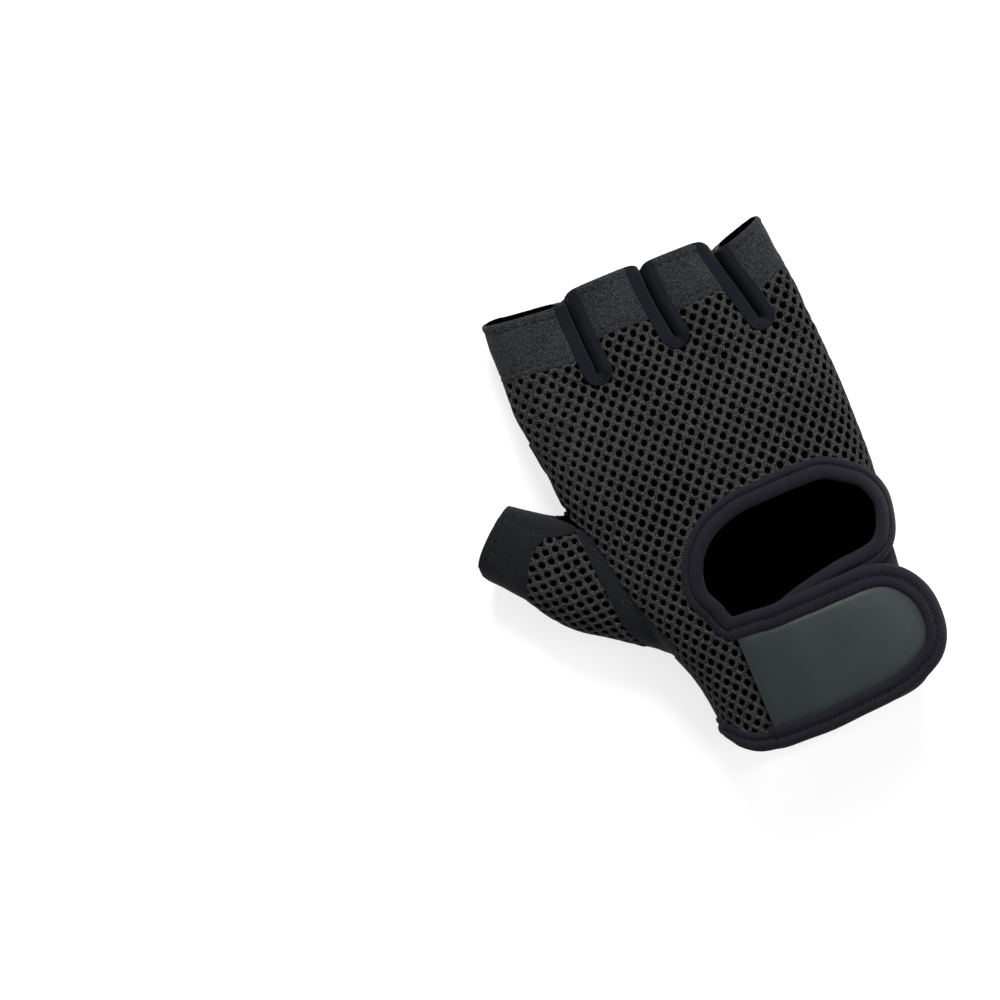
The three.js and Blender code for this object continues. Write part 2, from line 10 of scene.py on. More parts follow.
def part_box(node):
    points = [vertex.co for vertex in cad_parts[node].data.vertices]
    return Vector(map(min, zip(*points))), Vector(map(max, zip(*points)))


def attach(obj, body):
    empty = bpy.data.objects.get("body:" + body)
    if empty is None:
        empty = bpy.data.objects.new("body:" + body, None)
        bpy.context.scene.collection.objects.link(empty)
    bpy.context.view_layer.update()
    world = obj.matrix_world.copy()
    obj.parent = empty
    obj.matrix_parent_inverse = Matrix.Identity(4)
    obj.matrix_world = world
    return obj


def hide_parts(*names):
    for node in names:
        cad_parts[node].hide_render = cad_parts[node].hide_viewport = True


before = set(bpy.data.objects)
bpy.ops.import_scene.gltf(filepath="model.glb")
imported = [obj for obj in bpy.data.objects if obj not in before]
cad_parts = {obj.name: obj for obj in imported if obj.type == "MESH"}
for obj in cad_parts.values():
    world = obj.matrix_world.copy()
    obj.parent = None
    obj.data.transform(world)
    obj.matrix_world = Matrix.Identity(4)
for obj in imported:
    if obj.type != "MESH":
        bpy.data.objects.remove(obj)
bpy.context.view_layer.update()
rng = np.random.default_rng(11)

# Sizes in millimetres, in the plan of the CAD source: x across, y along from the hem, z up
glove_length = 156.0
hand_breadth = 96.0
hand_height = 35.0
side_seam_height = 9.5
finger_height = 18.5
finger_rise = 1.0
palm_lip = 1.5
fourchette_width = 7.4
thumb_reach = 64.0
thumb_width = 23.4
thumb_height = 20.0
thumb_bearing = 140.0
thumb_lip = 4.0
pad_thickness = 2.2
clearance = 0.3
palm_settle = 1.2
hem_rise = 9.0
hem_tape = 5.0
strap_overhang = 9.0
strap_base = clearance + 0.6
strap_level = 2.3
strap_step = 0.75
# Depth and wall of the near-black painted-shade sheet under the mesh
shade_sheet_drop = 1.35
shade_sheet_wall = 0.3
palm_level = pad_thickness + clearance
equator = palm_level + 0.36 * hand_height
hand_end = 0.765
suede_wall = 1.3
metre = 0.001

# How far the half planes beside a line reach, and how high above the plan a ray starts
far = 400.0
sky = 90.0

# How far pieces reach below the wrist's tape and past the seam at the side
tape_overlap = 0.6
seam_overlap = 0.3

# Reach of the hidden front of a finger past its open end
blind_reach = 7.0

# Fineness of the surface that every piece is cut from
voxel = 0.85
smooth_rounds = 14

# The air mesh: pitch of its holes, and half sizes of one hole
mesh_pitch = 4.2
mesh_row = 2.5
hole_across = 1.0
hole_along = 1.18
mesh_depth = 0.95

# Ribs of the binding tape, and the step between its sections
rib_pitch = 0.64
rib_height = 0.17
samples_per_rib = 4
fine = rib_pitch / samples_per_rib

# Rows of stitches: sides and sections of a thread
thread_sides = 6
thread_steps = 5

# The pad's corner is cut off at the crotch of the thumb, and the cut leans over this length
crotch_reach = 49.3
crotch_lean = 8
crotch_start = 94
crotch_length = 6

# On the little-finger side the mesh runs on below the vent's tape, up to this level
vent_side = 25
vent_side_level = 23.0

# The thumb's opening leans on its upper side, and lies beyond this line across the glove
mouth_slant = 0.15
mouth_pivot = 6.0
thumb_only = -57.0


def columns(names, rows):
    """A table as arrays with the names of its columns."""
    return {name: np.array([row[i] for row in rows], float) for i, name in enumerate(names.split())}


hand = columns("along left right top square", [
    (-0.12, -0.315, 0.396, 0.95, 3.0),
    (0.0, -0.315, 0.398, 0.96, 3.0),
    (0.106, -0.318, 0.402, 0.99, 3.0),
    (0.18, -0.336, 0.408, 1.0, 2.9),
    (0.266, -0.385, 0.42, 1.0, 2.7),
    (0.36, -0.448, 0.448, 0.975, 2.5),
    (0.458, -0.49, 0.467, 0.94, 2.4),
    (0.554, -0.508, 0.472, 0.89, 2.35),
    (0.65, -0.516, 0.474, 0.82, 2.3),
    (0.72, -0.519, 0.471, 0.71, 2.3),
    (0.765, -0.521, 0.468, 0.62, 2.3),
])
crotch = columns("across along", [
    (-0.6, 0.81), (-0.24, 0.816), (0.036, 0.824), (0.323, 0.792), (0.6, 0.765),
])

# Each finger: sides at the root, the crotch and the tip, reach of its tip corners, root swell
finger_root = 0.68
finger_middle = 0.8
fingers = {
    "index": ((-0.515, -0.235), (-0.541, -0.2445), (-0.523, -0.2535), (0.99, 0.97), 0.18),
    "middle": ((-0.225, 0.045), (-0.2375, 0.0335), (-0.2425, 0.013), (0.993, 0.992), 0.36),
    "ring": ((0.04, 0.32), (0.0415, 0.2875), (0.0195, 0.241), (0.984, 0.98), 0.34),
    "little": ((0.31, 0.465), (0.2975, 0.467), (0.248, 0.437), (0.944, 0.979), 0.04),
}
slits = {
    "index_middle": [(-0.249, 1.06), (-0.246, 0.93), (-0.243, 0.86), (-0.241, 0.824)],
    "middle_ring": [(0.014, 1.06), (0.017, 0.93), (0.03, 0.86), (0.036, 0.832)],
    "ring_little": [(0.228, 1.06), (0.266, 0.93), (0.292, 0.86), (0.314, 0.8)],
}
thumb = columns("back lower upper floor top", [
    (0.0, -0.5, 0.5, 0.0, 0.98),
    (0.15, -0.57, 0.522, 0.0, 1.0),
    (0.26, -0.645, 0.555, 0.0, 1.03),
    (0.36, -0.745, 0.64, 0.0, 1.07),
    (0.52, -0.825, 0.74, 0.0, 1.12),
    (0.7, -0.79, 0.76, 0.0, 1.13),
    (0.86, -0.765, 0.7, 0.0, 1.1),
    (1.0, -0.74, 0.6, 0.05, 1.0),
])
thumb_mouth = np.array([-0.77 * hand_breadth, 0.6 * glove_length])
bearing = math.radians(thumb_bearing)
thumb_out = np.array([math.cos(bearing), math.sin(bearing)])
thumb_across = np.array([thumb_out[1], -thumb_out[0]])

# Seam lines in shares of the hand's breadth and the glove's length
band_line = [
    (-0.9, 0.884), (-0.54, 0.882), (-0.28, 0.866), (-0.2, 0.887), (-0.02, 0.884), (0.07, 0.88),
    (0.235, 0.88), (0.325, 0.853), (0.45, 0.875), (0.9, 0.9),
]
back_edge = [
    (-1.6, 1.06), (-0.54, 0.585), (-0.49, 0.541), (-0.464, 0.49), (-0.448, 0.426),
    (-0.422, 0.362), (-0.396, 0.311), (-0.365, 0.246), (-0.9, 0.1), (-1.2, -0.6),
]
strip_edge = [
    (-0.52, 0.7), (-0.5, 0.53), (-0.497, 0.46), (-0.49, 0.4), (-0.478, 0.33), (-0.44, 0.285),
    (-0.41, 0.258), (-0.9, 0.16),
]
thumb_fold = [
    (-0.84, 0.72), (-0.724, 0.635), (-0.677, 0.603), (-0.609, 0.564), (-0.55, 0.552),
    (-0.3, 0.545),
]
thumb_band_line = [
    (-0.4, 0.72), (-0.55, 0.61), (-0.609, 0.564), (-0.646, 0.554), (-0.688, 0.529),
    (-0.714, 0.503), (-0.745, 0.46), (-0.8, 0.4),
]
pad_outline = [
    (-0.7, 0.745), (-0.51, 0.743), (-0.3, 0.735), (0.0, 0.728), (0.3, 0.713), (0.4, 0.698),
    (0.434, 0.655), (0.43, 0.54), (0.418, 0.42), (0.394, 0.285), (0.35, 0.198), (0.25, 0.153),
    (0.1, 0.131), (0.01, 0.128), (-0.07, 0.155), (-0.115, 0.203), (-0.145, 0.284),
    (-0.187, 0.372), (-0.25, 0.46), (-0.34, 0.51), (-0.45, 0.524), (-0.7, 0.53),
]
thumb_seam = [
    (-1.2, 0.24), (-0.4, 0.19), (-0.3, 0.152), (-0.22, 0.158), (-0.156, 0.182),
    (-0.128, 0.216), (-0.143, 0.28), (-0.19, 0.368), (-0.256, 0.452), (-0.35, 0.507),
    (-0.45, 0.526), (-0.5, 0.555), (-0.6, 0.64), (-0.9, 0.9),
]
gusset_outline = [
    (-0.475, 0.474), (-0.445, 0.497), (-0.38, 0.503), (-0.31, 0.478), (-0.268, 0.447),
    (-0.265, 0.41), (-0.3, 0.393), (-0.37, 0.425), (-0.44, 0.457),
]
tab_root = -0.08
tab_edge = [(-0.3, 0.25), (0.0, 0.268), (0.18, 0.286), (0.36, 0.308), (0.9, 0.38)]

# The vent's open edge and the outer edge of its tape, in millimetres of the plan
vent_edge = [
    (-19.2, 53.5), (-18, 59.5), (-15, 64.5), (-10, 68.5), (-5, 70.5), (0, 71.7), (10, 72),
    (20, 72), (27, 71.3), (32, 68.5), (37, 64.5), (39.2, 58.5), (38.5, 54), (34.5, 48),
    (20, 46), (10, 44.3), (5, 43.2), (0, 41.8), (-5, 41.5), (-14.5, 42.1), (-17, 48),
]
vent_tape = 6.3

# The patch on the strap, in millimetres of the plan. It is sewn down on its left
patch_edge = [
    (-16.3, 37), (-10, 36.5), (-5, 35.9), (5, 35.8), (20, 35.8), (27, 35.5), (32, 34),
    (36, 30.5), (38.7, 25.5), (39.3, 21), (38.5, 15.5), (36, 11.8), (32, 9.5), (27, 7.7),
    (20, 6.5), (10, 6.0), (0, 5.5), (-8, 5.8), (-16.3, 6.2),
]
strap_root = -16.3


def plan(points):
    """Plan points in millimetres from shares of the hand's breadth and the glove's length."""
    return np.array([(a * hand_breadth, b * glove_length) for a, b in points], float)


def steady(value):
    """Smooth step from 0 to 1."""
    t = np.clip(value, 0.0, 1.0)
    return t * t * (3.0 - 2.0 * t)


def near(distance, width):
    """1 at a distance of zero, and fading out over a width."""
    return np.exp(-(distance / width) ** 2)


def unit(vectors):
    """Rows scaled to length 1."""
    return vectors / np.maximum(np.linalg.norm(vectors, axis=1, keepdims=True), 1e-9)


def run_along(line):
    """Distance from the start of a line to each of its points."""
    return np.concatenate([[0], np.cumsum(np.linalg.norm(np.diff(line, axis=0), axis=1))])


def crosses_of(points, faces):
    """Normals of triangles, twice as long as their areas."""
    a, b, c = (points[faces[:, k]] for k in range(3))
    return np.cross(b - a, c - a)


def area_of(points, faces):
    """Area of a surface of triangles."""
    return 0.5 * np.linalg.norm(crosses_of(points, faces), axis=1).sum()


def smooth_read(xs, ys, x):
    """Smooth reading of a table between its rows, held at its ends."""
    slope = np.gradient(ys, xs)
    x = np.clip(x, xs[0], xs[-1])
    i = np.clip(np.searchsorted(xs, x) - 1, 0, len(xs) - 2)
    h = xs[i + 1] - xs[i]
    t = (x - xs[i]) / h
    a = (1 + 2 * t) * (1 - t) ** 2 * ys[i] + t * (1 - t) ** 2 * h * slope[i]
    b = t * t * (3 - 2 * t) * ys[i + 1] + t * t * (t - 1) * h * slope[i + 1]
    return a + b


def spline(points, step, closed=False):
    """A centripetal Catmull-Rom line through points, read out at an even spacing."""
    p = np.asarray(points, float)
    if closed:
        p = np.vstack([p[-1], p, p[0], p[1]])
    else:
        p = np.vstack([2 * p[0] - p[1], p, 2 * p[-1] - p[-2]])
    out = []
    for i in range(1, len(p) - 2):
        p0, p1, p2, p3 = p[i - 1], p[i], p[i + 1], p[i + 2]
        t1 = np.linalg.norm(p1 - p0) ** 0.5
        t2 = t1 + np.linalg.norm(p2 - p1) ** 0.5
        t3 = t2 + np.linalg.norm(p3 - p2) ** 0.5
        t = np.linspace(t1, t2, 24, endpoint=False)[:, None]
        a1 = (t1 - t) / t1 * p0 + t / t1 * p1
        a2 = (t2 - t) / (t2 - t1) * p1 + (t - t1) / (t2 - t1) * p2
        a3 = (t3 - t) / (t3 - t2) * p2 + (t - t2) / (t3 - t2) * p3
        b1 = (t2 - t) / t2 * a1 + t / t2 * a2
        b2 = (t3 - t) / (t3 - t1) * a2 + (t - t1) / (t3 - t1) * a3
        out.append((t2 - t) / (t2 - t1) * b1 + (t - t1) / (t2 - t1) * b2)
    out.append(p[-2][None])
    line = np.vstack(out)
    run = run_along(line)
    count = max(4, int(round(run[-1] / step)))
    at = np.linspace(0, run[-1], count + 1)
    even = np.stack([np.interp(at, run, line[:, k]) for k in range(line.shape[1])], axis=1)
    return even[:-1] if closed else even


def directions(line, closed=False):
    """Unit directions along a line of points."""
    if closed:
        run = np.roll(line, -1, axis=0) - np.roll(line, 1, axis=0)
    else:
        run = np.gradient(line, axis=0)
    return unit(run)


def shifted(line, distance, closed=False):
    """The line moved to its left by a distance, in plan."""
    run = directions(line[:, :2], closed)
    moved = line.copy()
    moved[:, 0] -= run[:, 1] * distance
    moved[:, 1] += run[:, 0] * distance
    return moved


def distance_to(points, line, closed=False):
    """Distance in plan from points to a line."""
    best = np.full(len(points), 1e9)
    ends = np.roll(line, -1, axis=0) if closed else line[1:]
    starts = line if closed else line[:-1]
    for a, b in zip(starts, ends):
        ab = b - a
        t = np.clip(((points[:, :2] - a) @ ab) / max(ab @ ab, 1e-9), 0, 1)
        d = points[:, :2] - (a + t[:, None] * ab)
        best = np.minimum(best, np.einsum("ij,ij->i", d, d))
    return np.sqrt(best)


def inside(points, outline):
    """True for the points inside a closed plan outline."""
    x, y = points[:, 0], points[:, 1]
    result = np.zeros(len(points), bool)
    for (x1, y1), (x2, y2) in zip(outline, np.roll(outline, -1, axis=0)):
        if y1 == y2:
            continue
        crosses = (y1 > y) != (y2 > y)
        result ^= crosses & (x < (x2 - x1) * (y - y1) / (y2 - y1) + x1)
    return result


def outline_field(points, outline):
    """Signed plan distance, positive inside a closed outline."""
    d = distance_to(points, outline, True)
    return np.where(inside(points, outline), d, -d)


def side_field(points, line, toward):
    """Signed plan distance from an open line, positive on the side that toward points to."""
    reach = np.asarray(toward, float) * far
    outline = np.vstack([line, line[-1] + reach, line[0] + reach])
    d = distance_to(points, line)
    return np.where(inside(points, outline), d, -d)


# Smooth noise on a lattice of random values
lattice = rng.random((32, 32, 32))


def noise(points, scale, seed=0.0):
    """Smooth noise from -1 to 1 at points, with features of about scale millimetres."""
    p = points / scale + np.array([7.3, 3.1, 5.7]) * (seed + 1)
    cell = np.floor(p).astype(int)
    f = p - cell
    f = f * f * (3 - 2 * f)
    total = np.zeros(len(points))
    for step in itertools.product((0, 1), repeat=3):
        share = np.where(step, f, 1 - f)
        i, j, k = ((cell + step) % 32).T
        total += share[:, 0] * share[:, 1] * share[:, 2] * lattice[i, j, k]
    return total * 2 - 1


# The form of the glove
def super_ring(shape, angles, grow=0.0):
    """One section: superellipse halves above and below its widest line, flat on the floor level."""
    c, s = np.cos(angles), np.sin(angles)
    power = np.where(s >= 0, 2 / shape["square"], 2 / shape["floor_square"])
    side = np.sign(c) * np.abs(c) ** power * (shape["half"] + grow)
    height = np.where(s >= 0, shape["rise"] + grow, shape["drop"] + grow)
    level = shape["z"] + np.sign(s) * np.abs(s) ** power * height
    level = np.maximum(level, shape["floor"] - grow)
    return np.stack([
        shape["x"] + shape["ax"] * side,
        shape["y"] + shape["ay"] * side,
        level,
    ], axis=1)


def hand_at(y):
    """Sides of the hand, share of its height and squareness at places along the glove."""
    left, right, top, square = (
        smooth_read(hand["along"], hand[key], y / glove_length)
        for key in ("left", "right", "top", "square")
    )
    return left * hand_breadth, right * hand_breadth, top, square


def hand_shape(y, top=None):
    """The hand's section at a place along the glove."""
    left, right, share, square = hand_at(y)
    share = share if top is None else top
    return {
        "x": (left + right) / 2, "y": y, "z": equator, "ax": 1.0, "ay": 0.0,
        "half": (right - left) / 2, "rise": share * hand_height + palm_level - equator,
        "drop": equator - palm_level + palm_settle, "floor": palm_level,
        "square": square, "floor_square": 3.2,
    }


def thumb_shape(back):
    """The thumb's section at a distance back from its opening, as a share of its reach."""
    lower, upper, floor, top = (
        smooth_read(thumb["back"], thumb[key], back) * size
        for key, size in zip(
            ("lower", "upper", "floor", "top"), (thumb_width, thumb_width, thumb_height, thumb_height)
        )
    )
    middle = (lower + upper) / 2
    at = thumb_mouth - thumb_out * back * thumb_reach + thumb_across * middle
    height = top - floor
    return {
        "x": at[0], "y": at[1], "z": palm_level + floor + 0.48 * height,
        "ax": thumb_across[0], "ay": thumb_across[1], "half": (upper - lower) / 2,
        "rise": 0.52 * height, "drop": 0.48 * height + palm_settle, "floor": palm_level + floor,
        "square": 2.2, "floor_square": 2.6,
    }


def circle(count):
    """Evenly spaced angles of a full turn."""
    return np.arange(count) * 2 * math.pi / count


def hand_rings():
    """The hand from the hem to the crotches of the fingers, closed by three shrinking sections."""
    end = hand_end * glove_length
    rings = [super_ring(hand_shape(y), circle(120)) for y in np.linspace(-18, end, 56)]
    for share, top, shrink in ((0.35, 0.585, 0.1), (0.7, 0.53, 0.5), (1.0, 0.49, 2.0)):
        ring = super_ring(hand_shape(end, top), circle(120), -shrink)
        front = np.interp(ring[:, 0] / hand_breadth, crotch["across"], crotch["along"])
        ring[:, 1] += share * (front * glove_length - ring[:, 1])
        rings.append(ring)
    return rings


# How the finger ends are trimmed: palm sides that reach past the back, and rounded corners
open_lip = 2.3
shown_lip = {"index": open_lip, "middle": 0.0, "ring": 0.0, "little": open_lip}
longer_back = {"index": 0.0, "middle": 0.2, "ring": 0.6, "little": 0.0}
corner_rounding = {"index": 0.0, "middle": 1.3, "ring": 1.3, "little": 0.0}


def tip_field(points, name):
    """Plan distance from the open end of a finger, positive below it."""
    tip, reach = fingers[name][2], fingers[name][3]
    side = (points[:, 0] / hand_breadth - tip[0]) / (tip[1] - tip[0])
    edge = (reach[0] + np.clip(side, -0.1, 1.1) * (reach[1] - reach[0])) * glove_length
    low = 1 - (points[:, 2] - palm_level - finger_rise) / finger_height
    edge = edge - corner_rounding[name] * np.clip(np.abs(2 * side - 1), 0, 1.15) ** 8
    return edge + longer_back[name] + shown_lip[name] * np.clip(low, 0, 1) - points[:, 1]


def finger_rings(name):
    """A finger from inside the hand to a little past its open end."""
    root, mid, tip, reach, swell = fingers[name]
    start = finger_root * glove_length
    places = [0.0, (finger_middle - finger_root) / (reach[0] - finger_root), 1.0]
    rings = []
    for share in list(np.linspace(0, 1, 14)) + [1.0]:
        left, right = (
            np.interp(share, places, [root[k], mid[k], tip[k]]) * hand_breadth for k in (0, 1)
        )
        height = finger_height * (1 + swell * (1 - share) ** 1.4)
        floor = palm_level + finger_rise * share
        ring = super_ring({
            "x": (left + right) / 2, "y": start, "z": floor + height / 2, "ax": 1.0, "ay": 0.0,
            "half": (right - left) / 2, "rise": height / 2, "drop": height / 2 + palm_settle / 2,
            "floor": floor, "square": 2.3, "floor_square": 2.6,
        }, circle(72))
        side = (ring[:, 0] - left) / (right - left)
        edge = (reach[0] + side * (reach[1] - reach[0])) * glove_length
        overrun = blind_reach if len(rings) == 14 else palm_lip
        ring[:, 1] = start + share * (edge + overrun - start)
        rings.append(ring)
    return rings


def thumb_rings():
    """The thumb from a little before its opening back into the hand."""
    rings = []
    for share in [-0.12, *np.linspace(0, 1, 26)]:
        shape = thumb_shape(max(share, 0.0))
        ahead = thumb_out * min(share, 0.0) * thumb_reach
        shape["x"] -= ahead[0]
        shape["y"] -= ahead[1]
        rings.append(super_ring(shape, circle(96)))
    return rings


def loft_faces(rings, first):
    """Quads between the sections, and a flat face at either end."""
    count, last = len(rings[0]), first + (len(rings) - 1) * len(rings[0])
    faces = []
    for start in range(first, last, count):
        for k in range(count):
            a, b = start + k, start + (k + 1) % count
            faces.append((a, b, b + count, a + count))
    faces.append(tuple(range(first + count - 1, first - 1, -1)))
    faces.append(tuple(range(last, last + count)))
    return faces


def linked(name, data):
    """A new object in the scene."""
    thing = bpy.data.objects.new(name, data)
    bpy.context.scene.collection.objects.link(thing)
    return thing


def numbers_of(items, key, width, kind):
    """One attribute of mesh elements as rows."""
    values = np.zeros(len(items) * width, kind)
    items.foreach_get(key, values)
    return values.reshape(-1, width)


def base_surface():
    """One smooth skin through the hand, the fingers and the thumb: points, triangles, normals."""
    verts, faces = [], []
    for rings in [hand_rings(), thumb_rings()] + [finger_rings(name) for name in fingers]:
        first = sum(len(part) for part in verts)
        faces += loft_faces(rings, first)
        verts.append(np.vstack(rings))
    data = bpy.data.meshes.new("form")
    data.from_pydata(np.vstack(verts).tolist(), [], faces)
    form = linked("form", data)
    remesh = form.modifiers.new("skin", "REMESH")
    remesh.mode = "VOXEL"
    remesh.voxel_size = voxel
    graph = bpy.context.evaluated_depsgraph_get()
    skin = form.evaluated_get(graph).to_mesh()
    skin.calc_loop_triangles()
    v = numbers_of(skin.vertices, "co", 3, float)
    f = numbers_of(skin.loop_triangles, "vertices", 3, int)
    e = numbers_of(skin.edges, "vertices", 2, int)
    bpy.data.objects.remove(form)
    count = np.bincount(e.ravel(), minlength=len(v))[:, None].astype(float)
    for step in range(smooth_rounds):
        total = gathered(v[e[:, 1]], e[:, 0], len(v)) + gathered(v[e[:, 0]], e[:, 1], len(v))
        v += (0.6 if step % 2 == 0 else -0.56) * (total / count - v)
    return v, f, vertex_normals(v, f)


def gathered(values, at, count):
    """The sums of rows of values, gathered at indices."""
    return np.stack([np.bincount(at, values[:, k], count) for k in range(3)], axis=1)


def vertex_normals(v, f):
    """Smooth normals at the points of a surface."""
    n = crosses_of(v, f)
    return unit(sum(gathered(n, f[:, corner], len(v)) for corner in range(3)))


skin_v, skin_f, skin_n = base_surface()
if np.einsum("ij,ij->", skin_v - skin_v.mean(0), skin_n) < 0:
    skin_f = skin_f[:, ::-1]
    skin_n = -skin_n
tree = BVHTree.FromPolygons(skin_v.tolist(), skin_f.tolist())


def cast(origins, rays):
    """Where rays first meet the skin: points, smooth normals and a mask of those that did."""
    hit = np.zeros(len(origins), bool)
    place = np.zeros((len(origins), 3))
    index = np.zeros(len(origins), int)
    for i, (o, d) in enumerate(zip(origins.tolist(), rays.tolist())):
        where, _, face, _ = tree.ray_cast(o, d)
        if where is not None:
            hit[i] = True
            place[i] = where
            index[i] = face
    f = skin_f[index]
    a, b, c = (skin_v[f[:, k]] for k in range(3))
    n = np.cross(b - a, c - a)
    area = np.maximum(np.einsum("ij,ij->i", n, n), 1e-12)
    wb = np.einsum("ij,ij->i", np.cross(place - a, c - a), n) / area
    wc = np.einsum("ij,ij->i", np.cross(b - a, place - a), n) / area
    wa = 1 - wb - wc
    normal = wa[:, None] * skin_n[f[:, 0]] + wb[:, None] * skin_n[f[:, 1]]
    normal += wc[:, None] * skin_n[f[:, 2]]
    return place, unit(normal), hit


def from_above(xy):
    """Skin points under plan points."""
    origins = np.column_stack([xy, np.full(len(xy), sky)])
    return cast(origins, np.tile([0.0, 0.0, -1.0], (len(xy), 1)))


# Cutting pieces out of the skin
def clip(rows, faces, field):
    """The part of a surface where a field is positive, cut through its triangles."""
    inside_v = field >= 0
    state = inside_v[faces].sum(axis=1)
    kept = faces[state == 3]
    mixed = faces[(state > 0) & (state < 3)]
    if len(mixed) == 0:
        return compact(rows, kept)
    one = state[(state > 0) & (state < 3)] == 1
    mark = inside_v[mixed] == one[:, None]
    turn = mark.argmax(axis=1)
    order = (turn[:, None] + np.arange(3)[None]) % 3
    mixed = np.take_along_axis(mixed, order, axis=1)
    a, b, c = mixed[:, 0], mixed[:, 1], mixed[:, 2]
    ends = np.vstack([np.column_stack([a, b]), np.column_stack([a, c])])
    ends = np.sort(ends, axis=1)
    unique, back = np.unique(ends, axis=0, return_inverse=True)
    back = back.reshape(-1)
    f0, f1 = field[unique[:, 0]], field[unique[:, 1]]
    t = np.clip(f0 / np.where(f0 == f1, 1, f0 - f1), 0.001, 0.999)[:, None]
    fresh = rows[unique[:, 0]] * (1 - t) + rows[unique[:, 1]] * t
    ab = len(rows) + back[: len(a)]
    ac = len(rows) + back[len(a):]
    fresh_faces = [
        np.column_stack([a, ab, ac])[one], np.column_stack([ab, b, c])[~one],
        np.column_stack([ab, c, ac])[~one],
    ]
    return compact(np.vstack([rows, fresh]), np.vstack([kept] + fresh_faces))


def compact(rows, faces):
    """Only the rows that faces use."""
    used, index = np.unique(faces, return_inverse=True)
    return rows[used], index.reshape(faces.shape)


def cut(fields):
    """The part of the skin inside several fields: points, normals, distance to its edge, faces."""
    rows = np.column_stack([skin_v, skin_n])
    faces = skin_f
    for field in fields:
        if len(faces):
            rows, faces = clip(rows, faces, field(rows[:, :3]))
    rows, faces = main_part(rows, faces)
    edge = np.min([np.maximum(field(rows[:, :3]), 0) for field in fields], axis=0)
    return rows[:, :3], unit(rows[:, 3:6]), edge, faces


def main_part(rows, faces):
    """Only the largest connected part of a surface."""
    label = np.arange(len(rows))
    while True:
        low = label[faces].min(axis=1)
        fresh = label.copy()
        for k in range(3):
            np.minimum.at(fresh, faces[:, k], low)
        fresh = fresh[fresh]
        if np.array_equal(fresh, label):
            break
        label = fresh
    names, counts = np.unique(label[faces[:, 0]], return_counts=True)
    best = names[counts.argmax()]
    return compact(rows, faces[label[faces[:, 0]] == best])


def rim_edges(faces):
    """Directed edges that only one triangle uses."""
    e = np.vstack([faces[:, [0, 1]], faces[:, [1, 2]], faces[:, [2, 0]]])
    key = e[:, 0].astype(np.int64) * (faces.max() + 1) + e[:, 1]
    back = e[:, 1].astype(np.int64) * (faces.max() + 1) + e[:, 0]
    return e[~np.isin(key, back)]


def thicken(points, normals, faces, wall, rim):
    """A closed wall from a surface, with a round rim. Returns points, faces and inner marks, which pick
    the back face and the lower half of the rim; most pieces give these the near-black painted-shade
    material.
    """
    n = len(points)
    e = rim_edges(faces)
    run = unit(points[e[:, 1]] - points[e[:, 0]])
    out = unit(sum(gathered(np.cross(run, normals[e[:, k]]), e[:, k], n) for k in (0, 1)))
    edge_v, back = np.unique(e, return_inverse=True)
    back = back.reshape(e.shape)
    layers = [points]
    for angle in (45, 0, -45):
        a = math.radians(angle)
        depth = wall / 2 * (1 - math.sin(a))
        layers.append(points[edge_v] - normals[edge_v] * depth + out[edge_v] * rim * math.cos(a))
    layers.append(points - normals * wall)
    starts = np.cumsum([0] + [len(layer) for layer in layers])
    rows = [faces, faces[:, ::-1] + starts[4]]
    marks = [np.zeros(len(faces), int), np.ones(len(faces), int)]
    chain = [e] + [back + starts[i] for i in (1, 2, 3)] + [e + starts[4]]
    for i in range(4):
        one, two = chain[i], chain[i + 1]
        rows.append(np.column_stack([one[:, 1], one[:, 0], two[:, 0]]))
        rows.append(np.column_stack([one[:, 1], two[:, 0], two[:, 1]]))
        # Mark 1 goes to the back face and the rim's lower half, which most pieces paint near-black as
        # painted shade
        marks += [np.full(len(e), 1 if i > 1 else 0)] * 2
    return np.vstack(layers), np.vstack(rows), np.concatenate(marks)


# Materials
def nodes_of(name):
    """A new material with its nodes and its shader."""
    material = bpy.data.materials.new(name)
    material.use_nodes = True
    return material, material.node_tree, material.node_tree.nodes["Principled BSDF"]


def add_node(material_tree, kind, **values):
    """A node with some of its inputs set."""
    node = material_tree.nodes.new(kind)
    for key, value in values.items():
        node.inputs[key].default_value = value
    return node


